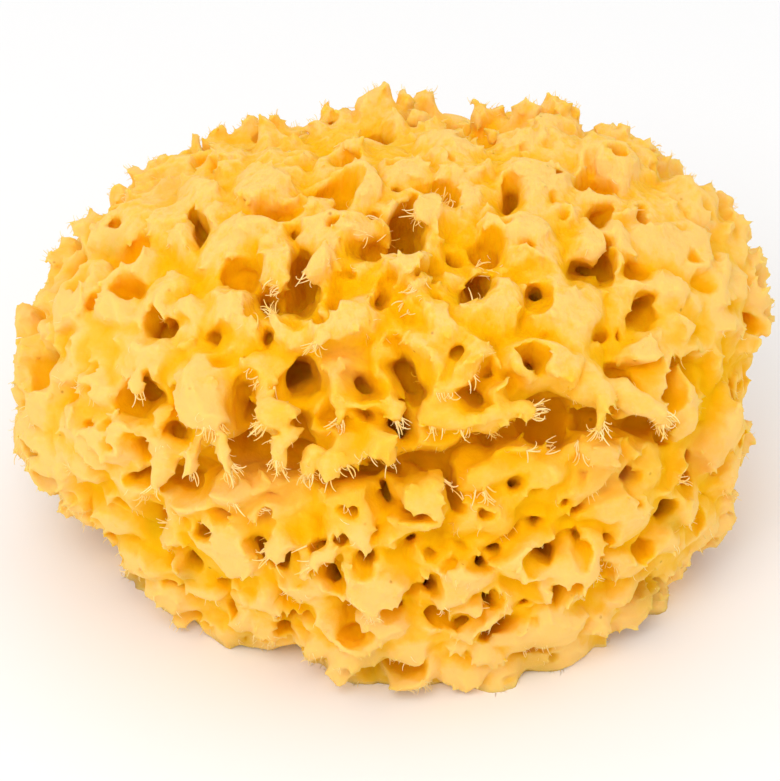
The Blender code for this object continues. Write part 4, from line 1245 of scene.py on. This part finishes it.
def store_tone(data, openness):
    """Store the tone, which paints light and shade into the colour: pale as painted highlight on what
    stands out, lies open and rises in relief; amber as painted shade in hollows and in the front's heart;
    paler towards the outline as painted rim light, and paler at the foot.
    """
    places = point_values(data, "co", 3) - np.array(CENTRING + BODY_CENTRE)
    rise = np.where(places[:, 2] < 0, FOOT_DROP, CROWN_RISE)
    fullness = np.where(places[:, 2] < 0, FOOT_FULLNESS, 2.0)
    flat = np.hypot(places[:, 0] / HALF_LENGTH, places[:, 1] / HALF_DEPTH)
    shell = (flat ** fullness + np.abs(places[:, 2] / rise) ** fullness) ** (1 / fullness)
    height = np.clip((shell - 1) * HALF_DEPTH / HEIGHT_RANGE + HEIGHT_LEVEL, 0, 1)
    relief = np.clip(ridge_height(data, RELIEF_ROUNDS) / RELIEF_RANGE + RELIEF_LEVEL, 0, 1)
    across = places @ np.array(ACROSS) / MM - HEART[0]
    up = places @ np.array(VIEW_UP) / MM - HEART[1]
    apart = np.hypot(across / HEART[2], up / HEART[3])
    heart = np.clip(HEART_FULLNESS - apart, 0, 1)
    rim = np.clip((apart - RIM_EDGE[0]) / (RIM_EDGE[1] - RIM_EDGE[0]), 0, 1) * RIM_EVENNESS
    foot = np.clip(1 - (places[:, 2] + WIDEST_HEIGHT) / FOOT_HEIGHT, 0, 1)
    # Openness and height paint shade into hollows and sunken valleys; relief paints highlight on raised
    # edges
    tones = OPENNESS_SHARE * openness + HEIGHT_SHARE * height + RELIEF_SHARE * relief + TONE_BASE
    # Painted shade: darker amber in the middle of the front
    tones -= HEART_SHARE * heart
    tones += FOOT_SHARE * foot
    # Painted rim light: towards the outline the tone evens out to a pale one
    tones += rim * (RIM_TONE - tones)
    store_values(data, "tone", tones)


def store_patches(data, name, patches):
    """Store how strongly each point of the front lies in one of the patches."""
    places = point_values(data, "co", 3) - np.array(CENTRING + VIEW_CENTRE)
    across, up, near = [places @ np.array(axis) for axis in (ACROSS, VIEW_UP, TO_VIEWER)]
    strengths = np.zeros(len(places))
    for middle, height, radius in patches:
        apart = np.hypot(across - middle * MM, up - height * MM) / (radius * MM)
        strengths = np.maximum(strengths, np.clip(PATCH_FULLNESS - apart, 0, 1) * (near > 0))
    store_values(data, name, strengths)


def spread_seats(data, weights, count, draw):
    """Random places on the skin by area and weight: their points, normals and tones."""
    data.calc_loop_triangles()
    corners = np.empty(len(data.loop_triangles) * 3, dtype=np.int32)
    data.loop_triangles.foreach_get("vertices", corners)
    corners = corners.reshape(-1, 3)
    places = point_values(data, "co", 3)
    normals = point_values(data, "normal", 3)
    a, b, c = places[corners[:, 0]], places[corners[:, 1]], places[corners[:, 2]]
    area = np.linalg.norm(np.cross(b - a, c - a), axis=1)
    share = np.cumsum(area * weights[corners].mean(axis=1))
    picked = corners[np.searchsorted(share, draw.random(count) * share[-1])]
    mix = draw.dirichlet((1, 1, 1), count)
    return [(values[picked] * mix.reshape(count, 3, *(1,) * (values.ndim - 1))).sum(axis=1)
            for values in (places, normals, stored_tone(data))]


def plant_strands(name, seated, shapes):
    """Plant loose strands as one piece. None goes through the floor."""
    seats = seat_points(name + " seats", *zip(*seated))
    made = planted(seats, shape_collection(name + " shapes", shapes), name)
    places = point_values(made.data, "co", 3)
    places[:, 2] = np.maximum(places[:, 2], 0)
    made.data.vertices.foreach_set("co", places.ravel())
    made.data.name = name
    made.data.shade_smooth()
    return made


def scattered(data, weights, count, draw, lengths, lean):
    """Seats for strands all over the skin: each one's place, turn, size and tone."""
    out, clump, stray, droop = lean
    # Each strand takes the tone of the skin where it stands, painted shade and highlight with it
    places, normals, tones = spread_seats(data, weights, count, draw)
    sizes = draw.uniform(*lengths, count) * MM
    spins = draw.normal(size=(count, 3))
    seated = []
    for place, normal, spin, size, tone in zip(places, normals, spins, sizes, tones):
        point = Vector(place)
        normal = Vector(normal)
        way = normal * out + wobble(point, CLUMP_WAVES) * clump + Vector(spin) * stray
        way -= Vector((0, 0, droop))
        seated.append((point - normal * ROOT_DEPTH, standing(way, spin[0] * 3), (size, size, size),
                       float(tone)))
    return seated


def tuft_ends(skin):
    """Where the tufts of the front stand: at the edge of the lobe that each points out of."""
    ends = []
    for across, up, turn in FRONT_TUFTS:
        way = turned_side(turn)
        target = VIEW_CENTRE + CENTRING + ACROSS * (across * MM) + VIEW_UP * (up * MM) - way * TUFT_BACK
        edge = None
        for _ in range(TUFT_STEPS):
            point = skin.ray_cast(VIEWER + CENTRING, (target - VIEWER - CENTRING).normalized())[0]
            if point is None or edge is not None and (edge - point).dot(TO_VIEWER) > EDGE_FALL:
                break
            edge = point
            target += way * TUFT_STEP
        ends.append((edge, way + TO_VIEWER * TUFT_LIFT))
    return ends


def bunches(skin, ends, kind, chance):
    """Seats for the curled fibres of one kind of bunch."""
    counts, lengths = kind
    seated = []
    for place, way in ends:
        along = way.cross(TO_VIEWER).normalized()
        for _ in range(chance.choice(counts)):
            near = place + along * chance.gauss(0, TUFT_WIDTH)
            root, normal, _, _ = skin.find_nearest(near)
            lean = way + normal * BUNCH_LIFT
            lean += Vector([chance.gauss(0, BUNCH_SPREAD) for _ in range(3)])
            size = chance.uniform(*lengths) * MM
            turn = standing(lean, chance.uniform(-math.pi, math.pi))
            tone = chance.uniform(*BUNCH_TONES)
            seated.append((root - normal * BUNCH_ROOT, turn, (size, size, size), tone))
    return seated


def hex_colour(text):
    """An sRGB hex colour as linear RGBA."""
    parts = [int(text[start:start + 2], 16) / 255 for start in (0, 2, 4)]
    linear = [part / 12.92 if part <= 0.04045 else ((part + 0.055) / 1.055) ** 2.4 for part in parts]
    return (*linear, 1)


def spongin_material(name, colours, tone_shift, bump, glow):
    """Spongin: a dried, keratin-like fibre felt, matte. Its colour follows the tone and so carries
    painted light and shade: pale where light reaches it, amber inside the pores."""
    material = bpy.data.materials.new(name)
    material.use_nodes = True
    tree = material.node_tree
    shader = tree.nodes["Principled BSDF"]
    place = add_node(tree, "ShaderNodeTexCoord").outputs["Object"]
    tone = add_node(tree, "ShaderNodeAttribute", {"attribute_name": "tone"}).outputs["Fac"]
    patches = add_node(tree, "ShaderNodeTexNoise", Vector=place, Scale=1 / PATCH_SIZE, Detail=2.5)
    grain = add_node(tree, "ShaderNodeTexNoise", Vector=place, Scale=1 / GRAIN_SIZE, Detail=3.0)
    height = add_node(tree, "ShaderNodeSeparateXYZ", Vector=place).outputs["Z"]
    crown = add_node(tree, "ShaderNodeMapRange", Value=height, From_Min=FOLDS_FROM,
                     From_Max=FOLDS_FULL).outputs[0]
    upright = add_node(tree, "ShaderNodeMapping", Vector=place, Scale=(1, 1, FOLD_STRETCH))
    folds = add_node(tree, "ShaderNodeTexNoise", Vector=upright.outputs[0], Scale=1 / FOLD_SIZE,
                     Detail=2.0).outputs["Fac"]
    streak = add_node(tree, "ShaderNodeMapRange", Value=folds, From_Min=FOLD_EDGE[0],
                      From_Max=FOLD_EDGE[1], To_Min=-FOLD_SHIFT, To_Max=FOLD_SHIFT)
    shift = tone_shift - PATCH_SHIFT / 2
    for pattern, gain in ((patches, PATCH_SHIFT), (grain, GRAIN_SHIFT), (streak, crown)):
        shift = add_node(tree, "ShaderNodeMath", {"operation": "MULTIPLY_ADD"},
                         {0: pattern.outputs[0], 1: gain, 2: shift}).outputs[0]
    shifted = add_node(tree, "ShaderNodeMath", {"operation": "ADD", "use_clamp": True}, {0: tone, 1: shift})
    # The ramp paints shade into the hollows and highlight onto what stands out, along the tone
    ramp = add_node(tree, "ShaderNodeValToRGB", Fac=shifted.outputs[0])
    stops = ramp.color_ramp.elements
    stops[0].position, stops[1].position = TONE_STOPS[0], TONE_STOPS[-1]
    for stop in TONE_STOPS[1:-1]:
        stops.new(stop)
    for stop, colour in zip(stops, colours):
        stop.color = colour
    colour = ramp.outputs["Color"]
    # The dusty patches tint the colour; the greenish patches paint shadow
    tints_and_shadow = (("dusty", DUSTY_COLOUR, DUSTY_STRENGTH), ("olive_shadow", OLIVE_SHADOW_COLOUR, OLIVE_SHADOW_STRENGTH))
    for patch, tint, strength in tints_and_shadow:
        share = add_node(tree, "ShaderNodeAttribute", {"attribute_name": patch}).outputs["Fac"]
        blotch = add_node(tree, "ShaderNodeMath", {"operation": "MULTIPLY", "use_clamp": True},
                          {0: share, 1: strength})
        colour = add_node(tree, "ShaderNodeMix", {"data_type": "RGBA"},
                          {0: blotch.outputs[0], 6: colour, 7: hex_colour(tint)}).outputs[2]
    cells = add_node(tree, "ShaderNodeTexVoronoi", Vector=place, Scale=1 / SPECK_SPACING)
    speck = add_node(tree, "ShaderNodeMapRange", Value=cells.outputs["Distance"], From_Min=SPECK_EDGE[0],
                     From_Max=SPECK_EDGE[1], To_Min=SPECK_STRENGTH, To_Max=0.0)
    specked = add_node(tree, "ShaderNodeMix", {"data_type": "RGBA"},
                       {0: speck.outputs[0], 6: colour, 7: hex_colour(SPECK_COLOUR)})
    tree.links.new(specked.outputs[2], shader.inputs["Base Color"])
    finish = {
        "Roughness": 0.9, "IOR": 1.54, "Specular IOR Level": 0.05, "Sheen Weight": 0.06,
        "Sheen Roughness": 0.5, "Sheen Tint": hex_colour(SHEEN_COLOUR), "Subsurface Weight": glow,
        "Subsurface Radius": GLOW_REACH, "Subsurface Scale": GLOW_DEPTH,
    }
    for socket, value in finish.items():
        shader.inputs[socket].default_value = value
    if bump:
        felt = add_node(tree, "ShaderNodeTexNoise", Vector=place, Scale=1 / FELT_SIZE, Detail=4.0)
        folded = add_node(tree, "ShaderNodeBump", Height=folds, Strength=crown, Distance=FOLD_HEIGHT)
        raised = add_node(tree, "ShaderNodeBump", Height=felt.outputs["Fac"], Strength=bump,
                          Distance=FELT_HEIGHT, Normal=folded.outputs["Normal"])
        tree.links.new(raised.outputs["Normal"], shader.inputs["Normal"])
    return material


def plain_material(name, colour, roughness):
    """Matte painted board, for the floor: even and without gloss."""
    material = bpy.data.materials.new(name)
    material.use_nodes = True
    shader = material.node_tree.nodes["Principled BSDF"]
    shader.inputs["Base Color"].default_value = hex_colour(colour)
    shader.inputs["Roughness"].default_value = roughness
    shader.inputs["Specular IOR Level"].default_value = 0.1
    return material


def finish_piece(piece, material):
    """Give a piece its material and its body."""
    piece.data.materials.clear()
    piece.data.materials.append(material)
    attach(piece, "root")


class SeaSpongeGrowth(bpy.types.PropertyGroup):
    seed: IntProperty(name="Seed", description="Changes the parts that grew at random", default=11)
    pore_voxel: FloatProperty(name="Pore voxel", description="Fineness of the carved body",
                              default=0.6 * MM, unit="LENGTH")
    skin_voxel: FloatProperty(name="Skin voxel", description="Fineness of the frayed skin",
                              default=0.5 * MM, unit="LENGTH")
    ridge_share: FloatProperty(name="Ridge share", default=88,
                               description="Percentile above which a point is on a ridge")
    smoothing: IntProperty(name="Smoothing", default=5,
                           description="Rounds that smooth the walls between pores")
    tip_spacing: FloatProperty(name="Tip spacing", description="Least distance between torn tips",
                               default=2.4 * MM, unit="LENGTH")
    tip_length: FloatProperty(name="Tip length", description="Length of the longest torn tips",
                              default=1.9 * MM, unit="LENGTH")
    triangles: IntProperty(name="Triangles", description="Triangles of the finished body", default=192000)


class SeaSpongeColours(bpy.types.PropertyGroup):
    # Painted shade deep in the pores, and painted highlight on what stands out
    hollow_shade: FloatVectorProperty(name="Hollow", description="Colour deep in the pores", subtype="COLOR",
                                size=4, min=0, max=1, default=hex_colour(BODY_COLOURS[0]))
    crest_highlight: FloatVectorProperty(name="Crest", description="Colour of what stands out", subtype="COLOR",
                               size=4, min=0, max=1, default=hex_colour(BODY_COLOURS[-1]))

    def body(self):
        """The colours from painted shade deep in a pore to painted highlight on the crests of the lobes."""
        return [self.hollow_shade, *map(hex_colour, BODY_COLOURS[1:-1]), self.crest_highlight]


class SeaSpongeFibres(bpy.types.PropertyGroup):
    seed: IntProperty(name="Seed", description="Changes where the loose fibres stand", default=3)
    fringe: IntProperty(name="Fringe", description="Number of stray fibre ends", default=4800)
    fuzz: IntProperty(name="Fuzz", description="Number of short fibre ends in each fuzz piece",
                      default=48000)
    fuzz_pieces: IntProperty(name="Fuzz pieces", description="Number of fuzz pieces", default=2)


class SeaSpongeStage(bpy.types.PropertyGroup):
    rise: FloatProperty(name="Rise", description="Camera angle above the horizon", default=VIEW_RISE,
                        subtype="ANGLE")
    distance: FloatProperty(name="Distance", description="Camera distance", default=VIEW_DISTANCE,
                            unit="LENGTH")
    sky: FloatProperty(name="Sky", description="Strength of the even light all round", default=0.94)
    lamp: FloatProperty(name="Lamp", description="Power of the soft lamp", default=2.0, unit="POWER")


class SEASPONGE_OT_body(bpy.types.Operator):
    """Grow the body with its pores and torn ridges, and the curled fibres in which its limbs end"""
    bl_idname = "sea_sponge.body"
    bl_label = "Grow body"

    def execute(self, context):
        settings = context.scene.sea_sponge_growth
        body, ends = grow_body(settings)
        store_tone(body.data, measure_openness(body.data))
        store_patches(body.data, "dusty", DUSTY_PATCHES)
        # Greenish painted shadow under the lower edge and in pores
        store_patches(body.data, "olive_shadow", OLIVE_SHADOW_PATCHES)
        colours = context.scene.sea_sponge_colours.body()
        finish_piece(body, spongin_material("spongin_felt", colours, 0.0, 0.35, 0.5))
        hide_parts("sponge")
        faces = [tuple(face.vertices) for face in body.data.polygons]
        skin = BVHTree.FromPolygons([vert.co for vert in body.data.vertices], faces)
        shapes = curled("claw", CLAW_BENDS, 4, 7, 0.055, 0.45)
        chance = random.Random(settings.seed)
        front, hidden, fingers = ends
        seated = bunches(skin, front + tuft_ends(skin), LIMB_BUNCH, chance)
        seated += bunches(skin, hidden, HIDDEN_BUNCH, chance)
        seated += bunches(skin, fingers, FINGER_BUNCH, chance)
        piece = plant_strands("sponge_claws", seated, shapes)
        colours = [hex_colour(colour) for colour in FIBRE_COLOURS]
        finish_piece(piece, spongin_material("spongin_claws", colours, 0.1, 0, 0))
        return {"FINISHED"}


class SEASPONGE_OT_fringe(bpy.types.Operator):
    """Plant the stray fibre ends that hang from the edges of the lobes"""
    bl_idname = "sea_sponge.fringe"
    bl_label = "Plant fringe"

    def execute(self, context):
        settings = context.scene.sea_sponge_fibres
        data = bpy.data.objects[BODY_NAME].data
        sharpness = ridge_height(data, 3) / FRINGE_RIDGE - FRINGE_RIDGE_FROM
        ridges = np.clip(sharpness, 0, FRINGE_RIDGE_MOST)
        clumps = [max(0, noise.noise(vert.co * FRINGE_WAVES) - FRINGE_GAP) for vert in data.vertices]
        downward = np.clip(FRINGE_DOWNWARD - point_values(data, "normal", 3)[:, 2], 0, 1)
        weights = ridges * np.array(clumps) * downward + LEAST_WEIGHT
        draw = np.random.default_rng(settings.seed)
        seated = scattered(data, weights, settings.fringe, draw, FRINGE_LENGTHS, FRINGE_LEAN)
        shapes = curled("hook", CLAW_BENDS, 3, 6, 0.065, 0.3)
        piece = plant_strands("sponge_fringe", seated, shapes)
        colours = [hex_colour(colour) for colour in FIBRE_COLOURS]
        finish_piece(piece, spongin_material("spongin_fibre_ends", colours, 0.0, 0, 0))
        return {"FINISHED"}


class SEASPONGE_OT_fuzz(bpy.types.Operator):
    """Plant the short fuzz that makes the surface look like velvet"""
    bl_idname = "sea_sponge.fuzz"
    bl_label = "Plant fuzz"

    def execute(self, context):
        settings = context.scene.sea_sponge_fibres
        data = bpy.data.objects[BODY_NAME].data
        above = point_values(data, "co", 3)[:, 2] > FUZZ_FLOOR
        weights = np.clip(stored_tone(data) - FUZZ_TONE, 0, 1) * above + LEAST_WEIGHT
        material = spongin_material("spongin_fuzz", context.scene.sea_sponge_colours.body(), 0.05, 0, 0)
        for number in range(1, settings.fuzz_pieces + 1):
            draw = np.random.default_rng((settings.seed, number))
            seated = scattered(data, weights, settings.fuzz, draw, FUZZ_LENGTHS, FUZZ_LEAN)
            piece = plant_strands("sponge_fuzz_%d" % number, seated, [pointed("hair", 0.09)])
            finish_piece(piece, material)
        return {"FINISHED"}


class SEASPONGE_OT_stage(bpy.types.Operator):
    """Set the floor, the soft light and the camera"""
    bl_idname = "sea_sponge.stage"
    bl_label = "Set stage"

    def execute(self, context):
        settings = context.scene.sea_sponge_stage
        floor_mesh = bmesh.new()
        bmesh.ops.create_grid(floor_mesh, x_segments=1, y_segments=1, size=FLOOR_REACH)
        floor = mesh_object("floor", floor_mesh)
        floor.data.materials.append(plain_material("matte_white_board", FLOOR_COLOUR, 0.9))
        world = bpy.data.worlds.new("soft white room")
        world.use_nodes = True
        background = world.node_tree.nodes["Background"]
        background.inputs["Color"].default_value = (1, 1, 1, 1)
        background.inputs["Strength"].default_value = settings.sky
        context.scene.world = world
        light = bpy.data.lights.new("soft lamp", "AREA")
        light.energy = settings.lamp
        light.size = LAMP_WIDTH
        lamp = bpy.data.objects.new("soft lamp", light)
        lamp.location = LAMP_PLACE
        lamp.rotation_euler = (BODY_CENTRE - lamp.location).to_track_quat("-Z", "Y").to_euler()
        context.scene.collection.objects.link(lamp)
        lens = bpy.data.cameras.new("camera")
        lens.sensor_width = SENSOR
        lens.lens = SENSOR * settings.distance * PIXELS_PER_METRE / PHOTO_HEIGHT
        lens.shift_x = (PHOTO_WIDTH / 2 - OUTLINE_CENTRE[0]) / PHOTO_HEIGHT
        lens.shift_y = (OUTLINE_CENTRE[1] - PHOTO_HEIGHT / 2) / PHOTO_HEIGHT
        lens.clip_start = CLIP_START
        camera = bpy.data.objects.new("camera", lens)
        away = Vector((0, -math.cos(settings.rise), math.sin(settings.rise)))
        camera.location = VIEW_CENTRE + CENTRING + away * settings.distance
        camera.rotation_euler = (-away).to_track_quat("-Z", "Y").to_euler()
        context.scene.collection.objects.link(camera)
        context.scene.camera = camera
        context.scene.view_settings.view_transform = "Standard"
        return {"FINISHED"}


class SEASPONGE_PT_panel(bpy.types.Panel):
    bl_label = "Sea sponge"
    bl_idname = "SEASPONGE_PT_panel"
    bl_space_type = "VIEW_3D"
    bl_region_type = "UI"
    bl_category = "Sea sponge"

    def draw(self, context):
        for group in GROUPS:
            settings = getattr(context.scene, group)
            box = self.layout.box()
            for name in settings.__annotations__:
                box.prop(settings, name)
        for operator in OPERATORS:
            self.layout.operator(operator.bl_idname)


OPERATORS = (SEASPONGE_OT_body, SEASPONGE_OT_fringe, SEASPONGE_OT_fuzz, SEASPONGE_OT_stage)
GROUPS = {
    "sea_sponge_growth": SeaSpongeGrowth,
    "sea_sponge_colours": SeaSpongeColours,
    "sea_sponge_fibres": SeaSpongeFibres,
    "sea_sponge_stage": SeaSpongeStage,
}
CLASSES = (*GROUPS.values(), *OPERATORS, SEASPONGE_PT_panel)


def register():
    for kind in CLASSES:
        bpy.utils.register_class(kind)
    for name, kind in GROUPS.items():
        setattr(bpy.types.Scene, name, PointerProperty(type=kind))


def unregister():
    for name in GROUPS:
        delattr(bpy.types.Scene, name)
    for kind in reversed(CLASSES):
        bpy.utils.unregister_class(kind)


def main():
    register()
    noise.seed_set(NOISE_SEED)
    bpy.ops.sea_sponge.body()
    bpy.ops.sea_sponge.fringe()
    bpy.ops.sea_sponge.fuzz()
    bpy.ops.sea_sponge.stage()


if __name__ == "__main__":
    main()
